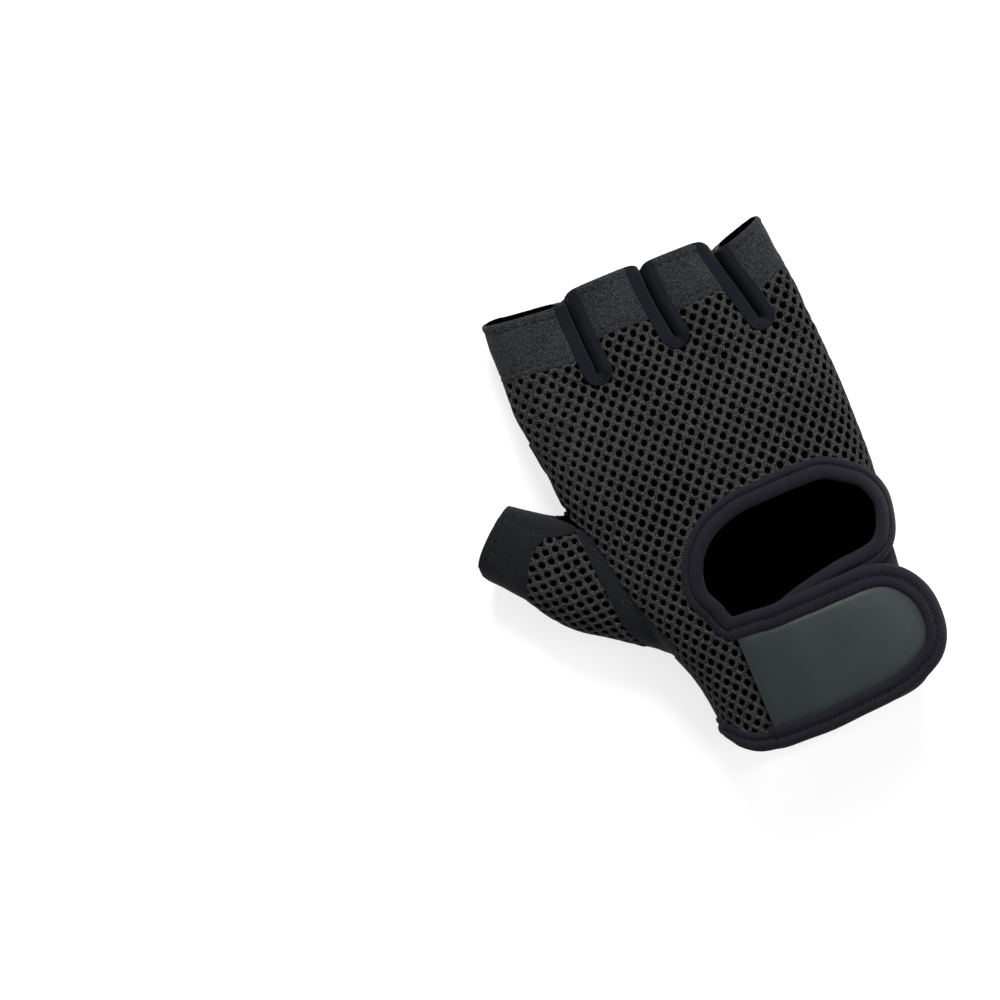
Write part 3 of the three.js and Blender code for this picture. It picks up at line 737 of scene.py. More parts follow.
def fabric(name, colour, rough, grain, bump, sheen=0.04, vary=0.15, lint=0.0, shine=0.08,
           spread=0.2, fine_share=0.6):
    """A matt cloth: mottled colour, a fine grain in relief and, if asked, pale specks of lint."""
    material, nt, shader = nodes_of(name)
    link = nt.links.new
    place = nt.nodes.new("ShaderNodeTexCoord").outputs["Object"]
    mottle = add_node(nt, "ShaderNodeTexNoise", Scale=90, Detail=4)
    grains = add_node(nt, "ShaderNodeTexNoise", Scale=grain, Detail=6)
    both = add_node(nt, "ShaderNodeMix", Factor=fine_share)
    ramp = nt.nodes.new("ShaderNodeValToRGB")
    for element, side in zip(ramp.color_ramp.elements, (-1, 1)):
        element.position = 0.5 + side * spread
        element.color = (*[c * (1 + side * vary) for c in colour], 1)
    link(place, mottle.inputs["Vector"])
    link(place, grains.inputs["Vector"])
    link(mottle.outputs["Fac"], both.inputs["A"])
    link(grains.outputs["Fac"], both.inputs["B"])
    link(both.outputs["Result"], ramp.inputs["Fac"])
    paint = ramp.outputs["Color"]
    if lint:
        speck = add_node(nt, "ShaderNodeTexVoronoi", Scale=700)
        link(place, speck.inputs["Vector"])
        dot = nt.nodes.new("ShaderNodeMath")
        dot.operation = "LESS_THAN"
        dot.inputs[1].default_value = 0.1
        link(speck.outputs["Distance"], dot.inputs[0])
        mix = nt.nodes.new("ShaderNodeMix")
        mix.data_type = "RGBA"
        mix.inputs["B"].default_value = (lint, lint, lint, 1)
        link(dot.outputs[0], mix.inputs["Factor"])
        link(paint, mix.inputs["A"])
        paint = mix.outputs["Result"]
    link(paint, shader.inputs["Base Color"])
    relief = add_node(nt, "ShaderNodeBump", Strength=bump, Distance=0.0004)
    link(grains.outputs["Fac"], relief.inputs["Height"])
    link(relief.outputs["Normal"], shader.inputs["Normal"])
    shader.inputs["Roughness"].default_value = rough
    shader.inputs["Specular IOR Level"].default_value = shine
    shader.inputs["Sheen Weight"].default_value = sheen
    shader.inputs["Sheen Roughness"].default_value = 0.5
    return material


def plain(name, colour):
    """A dead matt colour."""
    material, _, shader = nodes_of(name)
    shader.inputs["Base Color"].default_value = (*colour, 1)
    shader.inputs["Roughness"].default_value = 1.0
    shader.inputs["Specular IOR Level"].default_value = 0.0
    return material


suede = fabric("suede", (0.015, 0.0172, 0.021), 0.95, 2200, 0.8, vary=0.3, lint=0.08)
band_suede = fabric(
    "band_suede", (0.0172, 0.018, 0.0202), 0.95, 1700, 1.0, vary=0.5, lint=0.08, spread=0.1,
    fine_share=0.85,
)
thumb_suede = fabric("thumb_suede", (0.0076, 0.008, 0.0094), 0.95, 2200, 0.8, vary=0.35, lint=0.06)
knit = fabric(
    "air_mesh", (0.0242, 0.0234, 0.0244), 0.85, 1900, 1.0, sheen=0.03, vary=0.75, spread=0.09,
    fine_share=0.93,
)
stretch = fabric("stretch_fabric", (0.0038, 0.0046, 0.0078), 0.75, 2600, 0.4, sheen=0.03, vary=0.25)
tape = fabric("binding_tape", (0.0086, 0.0082, 0.0128), 0.8, 2600, 0.5, vary=0.25)
loop = fabric("loop_fabric", (0.007, 0.007, 0.0085), 0.95, 1500, 1.0, vary=0.4)
satin = fabric(
    "strap_patch", (0.0155, 0.0205, 0.022), 0.46, 1500, 0.1, sheen=0.0, vary=0.1, shine=0.25,
)
# The glove's dark inside, darkened almost to zero as painted shade so that its openings and the mesh's
# holes read black under any light
inner = plain("inside_painted_shade", (0.0008, 0.0008, 0.0009))
thread = fabric("thread", (0.0035, 0.0036, 0.0046), 0.7, 4000, 0.2, sheen=0.0)

# Placing the plan in the frame of the CAD
offset = np.array([
    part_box("strap_binding")[0].x / metre - strap_root,
    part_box("hem_binding")[0].y / metre,
    0.0,
])

# The surface of each piece, for the stitches that lie on it
surfaces = {}


def build(name, points, faces, materials, marks=None, nodes=()):
    """A piece of the glove from plan points in millimetres, riding on the CAD body."""
    data = bpy.data.meshes.new(name)
    data.from_pydata(((points + offset) * metre).tolist(), [], faces.tolist())
    piece = linked(name, data)
    for material in materials:
        data.materials.append(material)
    if marks is not None:
        data.polygons.foreach_set("material_index", marks.astype(np.int32))
    data.polygons.foreach_set("use_smooth", np.ones(len(faces), bool))
    data.update()
    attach(piece, "root")
    if nodes:
        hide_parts(*nodes)
    return piece


def build_tape(name, points, faces, material, node):
    """A swept tape or ribbon: builds the piece and keeps its surface for the stitches that lie on it."""
    build(name, points, faces, [material], None, [node])
    surfaces[name] = BVHTree.FromPolygons(points.tolist(), faces.tolist())


# Plan lines of the seams
band_curve, back_curve, strip_curve, fold_curve, thumb_band_curve, seam_curve, tab_curve = (
    spline(plan(line), 1.0) for line in (
        band_line, back_edge, strip_edge, thumb_fold, thumb_band_line, thumb_seam, tab_edge,
    )
)
pad_curve = spline(plan(pad_outline), 1.0, True)
gusset_curve = spline(plan(gusset_outline), 0.8, True)
vent_curve = spline(vent_edge, 0.8, True)
slit_curves = {name: spline(plan(line), 0.8) for name, line in slits.items()}
half_gap = clearance / 2


def turn_at_end(line, count):
    """Directions that turn from the left of a line's end round to its right."""
    run = directions(line)[-1]
    turn = math.atan2(run[1], run[0]) + math.pi / 2 - np.linspace(0, math.pi, count)
    return np.column_stack([np.cos(turn), np.sin(turn)])


def slot_outline(line, radius):
    """A slit widened to a slot with a round end."""
    round_end = line[-1] + radius * turn_at_end(line, 15)[1:-1]
    return np.vstack([shifted(line, radius), round_end, shifted(line, -radius)[::-1]])


def hem(x):
    """Height of the hem line along the glove."""
    middle = (hand["left"][1] + hand["right"][1]) / 2 * hand_breadth
    half = (hand["right"][1] - hand["left"][1]) / 2 * hand_breadth
    return hem_rise * np.clip(np.abs((x - middle) / half), 0, 1) ** 8


def thumb_zone(points):
    """Distance back from the thumb's opening, and a large number away from the thumb."""
    back = (points[:, :2] - thumb_mouth) @ -thumb_out
    low = np.clip(1 - (points[:, 2] - palm_level) / thumb_height, 0, 1)
    across = (points[:, :2] - thumb_mouth) @ thumb_across
    slant = mouth_slant * (across - mouth_pivot) * (1 - low)
    return np.where(points[:, 0] < thumb_only, back - slant - thumb_lip * low, 50.0)


# Fields that pieces are cut with, positive inside the piece
def above(height):
    return lambda p: p[:, 2] - height


def below(height):
    return lambda p: height - p[:, 2]


def above_tape(p):
    return p[:, 1] - hem(p[:, 0]) - hem_tape + tape_overlap


def beside(line, toward, gap=half_gap):
    return lambda p: side_field(p, line, toward) - gap


def not_beside(line, toward, gap=half_gap):
    return lambda p: -side_field(p, line, toward) - gap


def within(outline, gap=half_gap):
    return lambda p: outline_field(p, outline) - gap


def outside(outline, gap=half_gap):
    return lambda p: -outline_field(p, outline) - gap


clear_of_slots = [
    outside(slot_outline(line, fourchette_width / 2), 0.0) for line in slit_curves.values()
]
vent_outer = shifted(vent_curve, vent_tape, True)


def all_of(fields):
    """The smallest of several fields."""
    return lambda p: np.min([field(p) for field in fields], axis=0)


def tab_field(p):
    """Where the loop tab lies, on the little-finger side of the wrist."""
    right = p[:, 0] - tab_root * hand_breadth
    return np.minimum(right, side_field(p, tab_curve, [0, -1]))


def off_tab(p):
    return -tab_field(p) - half_gap


# The strip of the plan that belongs to each finger, between two slits or a slit and the side
walls = [plan([(-0.9, 1.06), (-0.9, 0.7)]), *slit_curves.values(), plan([(0.9, 1.06), (0.9, 0.7)])]
finger_columns = {
    name: np.vstack([walls[i], walls[i + 1][::-1]]) for i, name in enumerate(fingers)
}


def all_tips(p):
    """The tip cut of whichever finger a point belongs to."""
    result = np.full(len(p), 60.0)
    for name, outline in finger_columns.items():
        mine = inside(p, outline) & (p[:, 1] > 0.75 * glove_length)
        result = np.where(mine, tip_field(p, name), result)
    return result


def piece_from(name, fields, materials, node, lift, seam, wrinkle, scale, wall=suede_wall,
               rim=0.35, edge_width=1.6, shape=None, puff=0.0):
    """A wall cut out of the skin: it dips at its seams, swells between them and is lightly creased."""
    p, n, edge, faces = cut(fields)
    rise = lift - seam * near(edge, edge_width) + puff * steady(edge / 6)
    rise = rise + wrinkle * noise(p * [1, 1.7, 1], scale, len(name)) * steady(edge / 3)
    rise = rise + 0.35 * wrinkle * noise(p, scale * 0.35, len(name) + 3) * steady(edge / 2)
    if shape is not None:
        rise = rise + shape(p, edge)
    p = p + n * rise[:, None]
    closed, shell_faces, marks = thicken(p, vertex_normals(p, faces), faces, wall, rim)
    surfaces[name] = BVHTree.FromPolygons(p.tolist(), faces.tolist())
    build(name, closed, shell_faces, materials, marks, [node])


# The open air mesh, laid over the form in fabric coordinates
class Cloth:
    """Fabric coordinates on sections: arc length from the top line, and place along."""

    def __init__(self, shapes, places, start):
        """shapes is a section per place, and start gives where arc length is zero."""
        self.places = places
        self.step = 0.5
        self.arc = np.arange(-95, 95.01, self.step)
        grid = []
        for shape, zero in zip(shapes, start):
            ring = super_ring(shape, np.linspace(-0.9, math.pi + 0.9, 700))
            run = run_along(ring)
            side = (ring[:, 0] - shape["x"]) * shape["ax"] + (ring[:, 1] - shape["y"]) * shape["ay"]
            # The middle of the ring is its upper side, where each place across comes up once
            s = np.interp(-zero, -side[200:500], run[200:500]) - run
            grid.append(np.stack([np.interp(self.arc, s[::-1], ring[::-1, k]) for k in range(3)], axis=1))
        self.grid = np.array(grid)
        across = np.gradient(self.grid, axis=1)
        along = np.gradient(self.grid, axis=0)
        normal = np.cross(across, along)
        size = np.linalg.norm(normal, axis=2, keepdims=True)
        self.normal = normal / np.maximum(size, 1e-9)

    def at(self, s, y):
        """Points and normals at fabric coordinates."""
        u = np.clip((s - self.arc[0]) / self.step, 0, len(self.arc) - 1.001)
        v = np.interp(y, self.places, np.arange(len(self.places)))
        v = np.clip(v, 0, len(self.places) - 1.001)
        i, j = v.astype(int), u.astype(int)
        a, b = (v - i)[:, None], (u - j)[:, None]
        result = []
        for table in (self.grid, self.normal):
            low = table[i, j] * (1 - b) + table[i, j + 1] * b
            high = table[i + 1, j] * (1 - b) + table[i + 1, j + 1] * b
            result.append(low * (1 - a) + high * a)
        return result


# A cell's border, with the middles of its sides
corners = np.array([
    (0, 2.132), (2.1, 0.368), (2.1, -0.368), (0, -2.132), (-2.1, -0.368), (-2.1, 0.368),
])
hexagon = np.stack([corners, (corners + np.roll(corners, -1, axis=0)) / 2], axis=1).reshape(-1, 2)


def air_mesh(name, cloth, span, fields, node, bunched):
    """Knitted spacer mesh: a staggered lattice of cells, each with a round-edged hole through it."""
    (s0, s1), (t0, t1) = span
    field = all_of(fields)
    centres = []
    for j in range(int(t0 / mesh_row) - 1, int(t1 / mesh_row) + 2):
        first = (j % 2) * mesh_pitch / 2
        for i in range(int(s0 / mesh_pitch) - 1, int(s1 / mesh_pitch) + 2):
            centres.append((i * mesh_pitch + first, j * mesh_row))
    centres = np.array(centres)
    sides = len(hexagon)
    angle = np.arctan2(hexagon[:, 1] / hole_along, hexagon[:, 0] / hole_across)
    hole = np.column_stack([np.cos(angle) * hole_across, np.sin(angle) * hole_along])
    # Heights of a cell's rings, from its border over the crest of the yarn to its foot
    levels = [0.3, 0.2, -0.25, -mesh_depth, -mesh_depth]

    def placed(flat):
        point, normal = cloth.at(flat[:, 0], flat[:, 1])
        found, facing, hit = cast(point + normal * 9, -normal)
        return found, facing, hit & (np.linalg.norm(found - point, axis=1) < 5.0)

    middle, _, hit = placed(centres)
    centres = centres[hit & (field(middle) > -1.0)]
    # Holes close up a little where the cloth is bunched, and no two are quite alike
    spot = np.column_stack([centres, np.zeros(len(centres))])
    opening = 1 + 0.07 * noise(spot, 3.1, 11) + 0.07 * noise(spot, 22, 12)
    opening = opening - bunched * steady((-24 - centres[:, 0]) / 22)
    narrow = np.column_stack([opening - 0.06 * noise(spot, 5, 13), opening])[:, None, :]
    around = centres[:, None, :]
    flat = [around + hexagon, around + 0.5 * hexagon + 0.5 * hole * narrow]
    flat += [around + hole * narrow, around + hole * 1.05 * narrow, around + hexagon]
    flat = np.concatenate(flat, axis=1)
    level = np.tile(np.repeat(levels, sides), (len(centres), 1))
    key = np.column_stack([np.round(flat.reshape(-1, 2) * 200), np.round(level.reshape(-1) * 100)])
    _, first, back = np.unique(key, axis=0, return_index=True, return_inverse=True)
    back = back.reshape(len(centres), -1)
    flat = flat.reshape(-1, 2)[first]
    level = level.reshape(-1)[first]
    point, normal, hit = placed(flat)
    sink = 1.5 * steady((0.5 - field(point)) / 1.1)
    point = point + normal * (level - sink)[:, None]
    point += normal * (0.1 * noise(point, 14, 2))[:, None]
    faces, marks = [], []
    k = np.arange(sides)
    following = (k + 1) % sides
    whole = back[hit[back].all(axis=1)]
    for a in range(len(levels) - 1):
        one, two = (whole[:, r * sides:(r + 1) * sides] for r in (a, a + 1))
        faces.append(np.stack([one[:, following], one[:, k], two[:, k]], axis=2).reshape(-1, 3))
        faces.append(np.stack([one[:, following], two[:, k], two[:, following]], axis=2).reshape(-1, 3))
        # The deeper rings of each hole take the second material, the near-black: painted shade inside the
        # holes
        marks.append(np.full(len(whole) * sides * 2, 1 if a > 1 else 0))
    points, index = compact(point, np.vstack(faces))
    flat = (np.ptp(points[:, 1]), area_of(points, index) / 2)
    build(name, points, index, [knit, inner], np.concatenate(marks), [node])


def off_vent(p):
    """Outside the vent. On the little-finger side the mesh runs on below the tape's outer edge."""
    beyond_tape = -outline_field(p, vent_outer) + 2.5
    side_level = np.where(p[:, 0] > vent_side, vent_side_level - p[:, 2], -50.0)
    return np.maximum(beyond_tape, side_level)


back_fields = [
    above(side_seam_height), above_tape, beside(back_curve, [1, 0]), beside(band_curve, [0, -1]),
    off_tab, off_vent,
] + clear_of_slots
y_rows = np.arange(-4.0, 150.1, 1.0)
hand_cloth = Cloth([hand_shape(y) for y in y_rows], y_rows, [-hand_shape(y)["x"] for y in y_rows])
air_mesh("back_air_mesh", hand_cloth, ((-75, 75), (0, 146)), back_fields, "back_mesh", 0.1)

thumb_fields = [
    above(side_seam_height), above_tape, beside(strip_curve, [-1, 0]), beside(fold_curve, [0, -1]),
    not_beside(thumb_band_curve, [-1, 0]),
]
d_rows = np.arange(0.0, 63.1, 1.0)
thumb_cloth = Cloth([thumb_shape(d / thumb_reach) for d in d_rows], d_rows, np.zeros(len(d_rows)))
air_mesh("thumb_air_mesh", thumb_cloth, ((-40, 40), (0, 62)), thumb_fields, "thumb_mesh", 0.0)

# A near-black sheet right under the mesh, painted shade that stands in for the dark inside of the glove,
# so that its holes read black
for name, fields in (("back_lining", back_fields), ("thumb_lining", thumb_fields)):
    p, n, edge, faces = cut(fields)
    p = p - n * shade_sheet_drop
    closed, shell_faces, marks = thicken(p, vertex_normals(p, faces), faces, shade_sheet_wall, 0.1)
    build(name, closed, shell_faces, [inner], None, [])

# Suede cut from the skin. Upper pieces reach a little below the seam at the side
upper = above(side_seam_height - seam_overlap)
for name, outline in finger_columns.items():
    def turned_edge(p, edge, key=name):
        from_tip = tip_field(p, key)
        from_seam = side_field(p, band_curve, [0, 1])
        roll = 0.3 * near(from_tip - 1.0, 0.8) - 0.22 * near(from_tip - 2.4, 0.5)
        return roll - 0.2 * near(from_seam - 1.5, 0.5)

    piece_from(
        name + "_suede_band",
        [upper, beside(band_curve, [0, 1], -0.5), within(outline, 0.0),
         lambda p, key=name: tip_field(p, key)] + clear_of_slots,
        [band_suede, inner], name + "_band", 0.5, 0.25, 0.28, 8.0, edge_width=0.8, rim=0.45,
        shape=turned_edge,
    )

thumb_sides = [thumb_suede, inner]
below_fold = beside(fold_curve, [0, -1], -half_gap)
piece_from(
    "thumb_suede_band", [upper, below_fold, thumb_zone, beside(thumb_band_curve, [-1, 0], -0.4)],
    thumb_sides, "thumb_band", 0.4, 0.25, 0.2, 8.0,
)
piece_from(
    "side_suede_strip",
    [upper, above_tape, beside(back_curve, [-1, 0], -seam_overlap), below_fold,
     beside(strip_curve, [1, 0], -seam_overlap), thumb_zone],
    thumb_sides, "side_strip", 0.4, 0.4, 0.15, 9.0,
)


def thumb_palm_field(p):
    """The thumb's front runs over the side seam, up to its fold."""
    under = all_of([beside(seam_curve, [-1, 0.4]), below(side_seam_height + 0.6), above_tape])
    over = all_of([
        beside(fold_curve, [0, 1]), beside(back_curve, [-1, 0]), above(side_seam_height - 0.6),
    ])
    return np.maximum(under(p), over(p))


piece_from(
    "thumb_palm_suede", [thumb_palm_field, outside(gusset_curve), thumb_zone],
    thumb_sides, "thumb_palm", 0.25, 0.45, 0.3, 10.0,
)
piece_from(
    "thumb_gusset_suede", [below(side_seam_height), within(gusset_curve)],
    thumb_sides, "thumb_gusset", 0.25, 0.9, 0.2, 7.0, puff=0.7,
)
piece_from(
    "palm_suede",
    [below(side_seam_height + 0.6), above_tape, not_beside(seam_curve, [-1, 0.4]),
     outside(gusset_curve), all_tips] + clear_of_slots,
    [suede, inner], "palm_panel", 0.2, 0.3, 0.3, 10.0,
    shape=lambda p, edge: 0.45 * noise(p * [1, 2.2, 1], 6.5, 15) * steady((p[:, 1] - 108) / 12),
)

# The padded palm patch, with its two rows of stitching and the quilted line
quilt = spline([
    (-58, 80), (-45, 79.5), (-30, 78.5), (-15, 77.5), (0, 76.5), (10, 75.5), (18, 74), (25, 70.5),
    (25.5, 60), (24, 50), (22, 35), (20, 22), (15, 17), (8, 13.5), (0, 13), (-7, 15), (-12, 20),
    (-14, 28), (-17, 38), (-19, 47), (-22, 53), (-27, 60), (-32, 65), (-40, 69), (-48, 71), (-57, 71),
], 1.0)
quilt = quilt * [1, 1.054] + [9.0, 17.9]
seam_rows = (1.6, 3.6)


def corner_cut(p):
    """Clear of the thumb's crotch."""
    return p[:, 0] + crotch_reach + crotch_lean * steady((p[:, 1] - crotch_start) / crotch_length)


p, n, edge, faces = cut([
    below(side_seam_height), within(pad_curve, 0.0), not_beside(seam_curve, [-1, 0.4], -0.4),
    corner_cut,
])
dent = 0.75 * near(distance_to(p, quilt), 1.3)
for row in seam_rows:
    dent = dent + 0.3 * near(edge - row, 0.6)
rise = pad_thickness - 0.15 - dent - 0.9 * near(edge, 1.2) + 0.2 * noise(p, 11, 4) * steady(edge / 4)
p = p + n * rise[:, None]
p[:, 2] = np.maximum(p[:, 2], 0.02)
closed, shell_faces, marks = thicken(p, n, faces, pad_thickness - 0.6, 0.5)
pad = build("palm_pad_suede", closed, shell_faces, [suede, inner], marks, ["palm_pad"])
surfaces["palm_pad_suede"] = BVHTree.FromPolygons(p.tolist(), faces.tolist())


# Solids swept along a line
def tube(rings, closed_path=False):
    """A solid through sections that are closed loops: its points, and triangles that face out."""
    count, sides = rings.shape[:2]
    first = np.arange(count if closed_path else count - 1)[:, None] * sides
    k = np.arange(sides)[None]
    a, b = first + k, first + (k + 1) % sides
    shift = np.where(first + sides < count * sides, sides, -(count - 1) * sides)
    quads = np.stack([a, b, b + shift, a + shift], axis=2).reshape(-1, 4)
    faces = [quads[:, [0, 1, 2]], quads[:, [0, 2, 3]]]
    if not closed_path:
        k = np.arange(1, sides - 1)
        end = (count - 1) * sides
        faces.append(np.column_stack([0 * k, k + 1, k]))
        faces.append(np.column_stack([0 * k + end, k + end, k + 1 + end]))
    faces = np.vstack(faces)
    points = rings.reshape(-1, 3)
    a, b, c = (points[faces[:, k]] for k in range(3))
    volume = np.einsum("ij,ij->", a, np.cross(b, c))
    return points, faces if volume > 0 else faces[:, ::-1]


def ribs(count, spacing):
    """Heights of the fine ribs across a tape, at evenly spaced places along it."""
    return rib_height * np.cos(np.arange(count) * spacing / rib_pitch * 2 * math.pi)


# The ribbon's section, first its outer and then its inner side.
# Columns: distance from the slit's middle line, share of the depth, and lift in millimetres
ribbon_section = np.array([
    (4.6, 0.0, 0.1), (4.4, 0.0, 0.5), (4.0, 0.0, 0.6), (3.6, 0.0, 0.3), (3.1, 0.0, 0.5),
    (2.4, 0.01, 0.5), (1.6, 0.03, 0.3), (0.9, 0.08, 0.0), (0.4, 0.16, 0.0), (0.05, 0.3, 0.0),
    (0.05, 0.65, 0.0), (0.5, 0.8, 0.0), (1.6, 0.91, 0.0), (2.8, 0.97, 0.0), (3.9, 1.0, 0.0),
    (4.4, 0.95, 0.0), (2.7, 0.85, 0.0), (1.5, 0.7, 0.0), (1.1, 0.48, 0.0), (1.4, 0.25, 0.0),
    (2.6, 0.12, 0.0), (4.0, 0.08, 0.0), (4.8, 0.03, -0.4),
])


def fourchette(line):
    """The stretch ribbon that lines a slit: rolled over the finger's edge and down to the palm."""
    keep = line[line[:, 1] < 1.02 * glove_length]
    run = directions(keep)
    arc = turn_at_end(keep, 17)
    left = np.column_stack([-run[:, 1], run[:, 0]])
    base = np.vstack([keep[:-1], np.tile(keep[-1], (17, 1)), keep[:-1][::-1]])
    side = np.vstack([left[:-1], arc, -left[:-1][::-1]])
    top, _, hit = from_above(base + side * (fourchette_width / 2 + 0.8))
    at = np.arange(len(base))
    level = np.interp(at, at[hit], top[hit, 2])
    level = np.convolve(np.pad(level, 2, mode="edge"), np.ones(5) / 5, mode="valid")[:, None]
    d, share, lift = ribbon_section.T
    xy = base[:, None] + side[:, None] * d[:, None]
    z = level * (1 - share) + (palm_level + 0.4) * share + lift
    points, faces = tube(np.concatenate([xy, z[:, :, None]], axis=2))
    spread = np.clip(points[:, 1] / glove_length, 0, 1)
    return points + (0.18 * noise(points, 5, 6) * spread)[:, None] * [1, 0, 1], faces


def cap_clip(points, faces, field):
    """Cuts a closed solid with a field and closes the cut with a flat fan."""
    points, faces = clip(points, faces, field)
    following = dict(rim_edges(faces).tolist())
    extra, fans = [], []
    while following:
        at, loop = next(iter(following)), []
        while at in following:
            loop.append(at)
            at = following.pop(at)
        centre = len(points) + len(extra)
        extra.append(points[loop].mean(axis=0))
        fans += [(b, a, centre) for a, b in zip(loop, loop[1:] + loop[:1])]
    return np.vstack([points, extra]), np.vstack([faces, fans])


for slit_name, line in slit_curves.items():
    p, faces = fourchette(line)
    one, two = slit_name.split("_")
    on_left = -side_field(p, line, [1, 0]) > 0
    tip = np.where(on_left, tip_field(p, one), tip_field(p, two)) + 0.2
    p, faces = cap_clip(p, faces, tip)
    build_tape(
        "fourchette_ribbon_" + slit_name, p, faces, stretch,
        "fourchette_" + slit_name,
    )


def hand_top(x, y, grow, overhang):
    """Height of the hand's section over plan points, wider on its right by an overhang."""
    left, right, top, square = hand_at(y)
    middle = (left + right) / 2
    half = (right - left) / 2 + grow + np.where(x > middle, overhang, 0.0)
    u = np.clip(np.abs(x - middle) / half, 0, 0.9995)
    rise = top * hand_height + palm_level - equator + grow
    return equator + rise * (1 - u ** square) ** (1 / square)


def tape_ring(line, closed_path, section, surface, seed):
    """A ribbed tape along a plan line. section rows are distance outward and height above."""
    run = directions(line, closed_path)
    out = np.column_stack([run[:, 1], -run[:, 0]])
    spacing = np.linalg.norm(np.diff(line, axis=0), axis=1).mean()
    if closed_path:
        spacing = round(len(line) * spacing / rib_pitch) * rib_pitch / len(line)
    rib = ribs(len(line), spacing)
    flat = np.column_stack([line, np.zeros(len(line))])
    pucker = 0.12 * noise(flat, 2.6, seed) + 0.1 * noise(flat, 7, seed + 1)
    width = 1 + 0.03 * noise(flat, 9, seed + 2)
    rings = []
    for w, h in section:
        xy = line + out * (w * width)[:, None]
        lift = h + (rib + pucker * (0.4 if w > 3 else 1.0) if h > 0.05 else 0)
        rings.append(np.column_stack([xy, surface(xy[:, 0], xy[:, 1]) + lift]))
    return tube(np.stack(rings, axis=1), closed_path)


# The tape round the vent: wide rounded inner roll, stitched groove, thin outer roll
vent_path = spline(vent_edge, fine, True)[::-1]
vent_section = spline([
    (0.9, -2.6), (0.1, -1.7), (-0.3, -0.4), (0.1, 0.8), (1.1, 1.55), (2.3, 1.75), (3.4, 1.4),
    (3.95, 0.8), (4.15, 0.45), (4.4, 0.8), (5.1, 1.2), (5.9, 1.0), (6.45, 0.3), (6.4, -0.9),
    (5.6, -1.6), (4.2, -0.9), (2.6, -0.9), (1.6, -1.9),
], 0.55, True)


def vent_surface(x, y):
    """The hand's top, which spreads less toward the fingers."""
    return hand_top(x, y, 0.0, 2.8 - 1.8 * steady((y - 58) / 14))


p, faces = tape_ring(vent_path, True, vent_section, vent_surface, 3)
build_tape("vent_tape", p, faces, tape, "vent_binding")

# The loop tab under the strap
piece_from(
    "under_tab_loop", [above(side_seam_height), above_tape, tab_field, outside(vent_curve, 1.5)],
    [loop, inner], "under_tab", 0.0, 0.5, 0.15, 9.0, wall=1.6,
)

# The tape at the wrist, round the whole opening. Its places are distances round the hand
hem_shape = hand_shape(3.0)
hem_middle = [hem_shape["x"], hem_shape["y"], equator]
hem_section = spline([
    (5.6, -0.5), (5.9, 0.25), (5.2, 0.85), (4.3, 0.8), (3.7, 0.45), (3.1, 0.95), (2.0, 1.3),
    (0.8, 1.1), (0.05, 0.3), (0.1, -0.9), (0.9, -1.8), (2.2, -2.1), (2.6, -1.2), (4.2, -0.9),
], 0.6, True)
angles = np.linspace(0, 2 * math.pi, 2400, endpoint=False)
ring = super_ring(hem_shape, angles)
places = run_along(ring[:, [0, 2]])
total = places[-1] + np.linalg.norm(ring[0] - ring[-1])


def angles_at(at, known_places, known_angles):
    """Angles of the hand's section at distances round it."""
    return np.interp(at, np.append(known_places, total), np.append(known_angles, 2 * math.pi))


count = int(round(total / rib_pitch)) * samples_per_rib
even = np.arange(count) * total / count
angles = angles_at(even, places, angles)
ring = super_ring(hem_shape, angles)
relief = ribs(count, total / count) + (0.12 * noise(ring, 2.6, 8) + 0.1 * noise(ring, 8, 9))
hem_y = hem(np.clip(ring[:, 0], -30.2, 38.2))
slope = (np.roll(hem_y, -6) - np.roll(hem_y, 6)) / (12 * total / count)
slope = np.convolve(np.pad(slope, 20, mode="wrap"), np.ones(41) / 41, mode="valid")
lean = np.arctan(slope)
rings = []
for w, h in hem_section:
    ring = super_ring(hem_shape, angles_at((even - w * np.sin(lean)) % total, even, angles), h)
    if h > 0.3:
        ring = ring + unit(ring - hem_middle) * relief[:, None]
    ring[:, 1] = hem_y + w * np.cos(lean)
    rings.append(ring)
p, faces = tube(np.stack(rings, axis=1), True)
p[:, 2] = np.maximum(p[:, 2], 0.3)
build_tape("hem_tape", p, faces, tape, "hem_binding")


# The strap: body, patch and tape, on a form that is wider than the wrist
def strap_surface(x, y):
    """The strap lies close where it is sewn down and stands off the wrist from there on."""
    sewn = 1 - steady((x - strap_root + 3.0) / 22)
    return hand_top(x, y, strap_base, strap_overhang) - 1.9 * sewn


def strap_sheet(name, outline, low, wall, material, node, puff, dent):
    """A sheet of the strap inside an outline, swelling in its middle and dipping at its edge."""
    xs, ys = np.arange(-18, 47, strap_step), np.arange(-3, 46, strap_step)
    gx, gy = np.meshgrid(xs, ys, indexing="ij")
    rows = np.column_stack([gx.ravel(), gy.ravel(), np.zeros(gx.size)])
    index = np.arange(gx.size).reshape(gx.shape)
    a, b, c, d = index[:-1, :-1], index[1:, :-1], index[1:, 1:], index[:-1, 1:]
    faces = np.vstack([np.stack(corners, 2).reshape(-1, 3) for corners in ((a, b, c), (a, c, d))])
    rows, faces = clip(rows, faces, outline_field(rows, outline))
    edge = outline_field(rows, outline)
    swell = puff * steady(edge / 7) - dent * near(edge, 1.2)
    rows[:, 2] = strap_surface(rows[:, 0], rows[:, 1]) + low + wall + swell + 0.12 * noise(rows, 12, 5)
    closed, shell, marks = thicken(rows, vertex_normals(rows, faces), faces, wall, 0.25)
    build(name, closed, shell, [material] * 2, marks, [node])


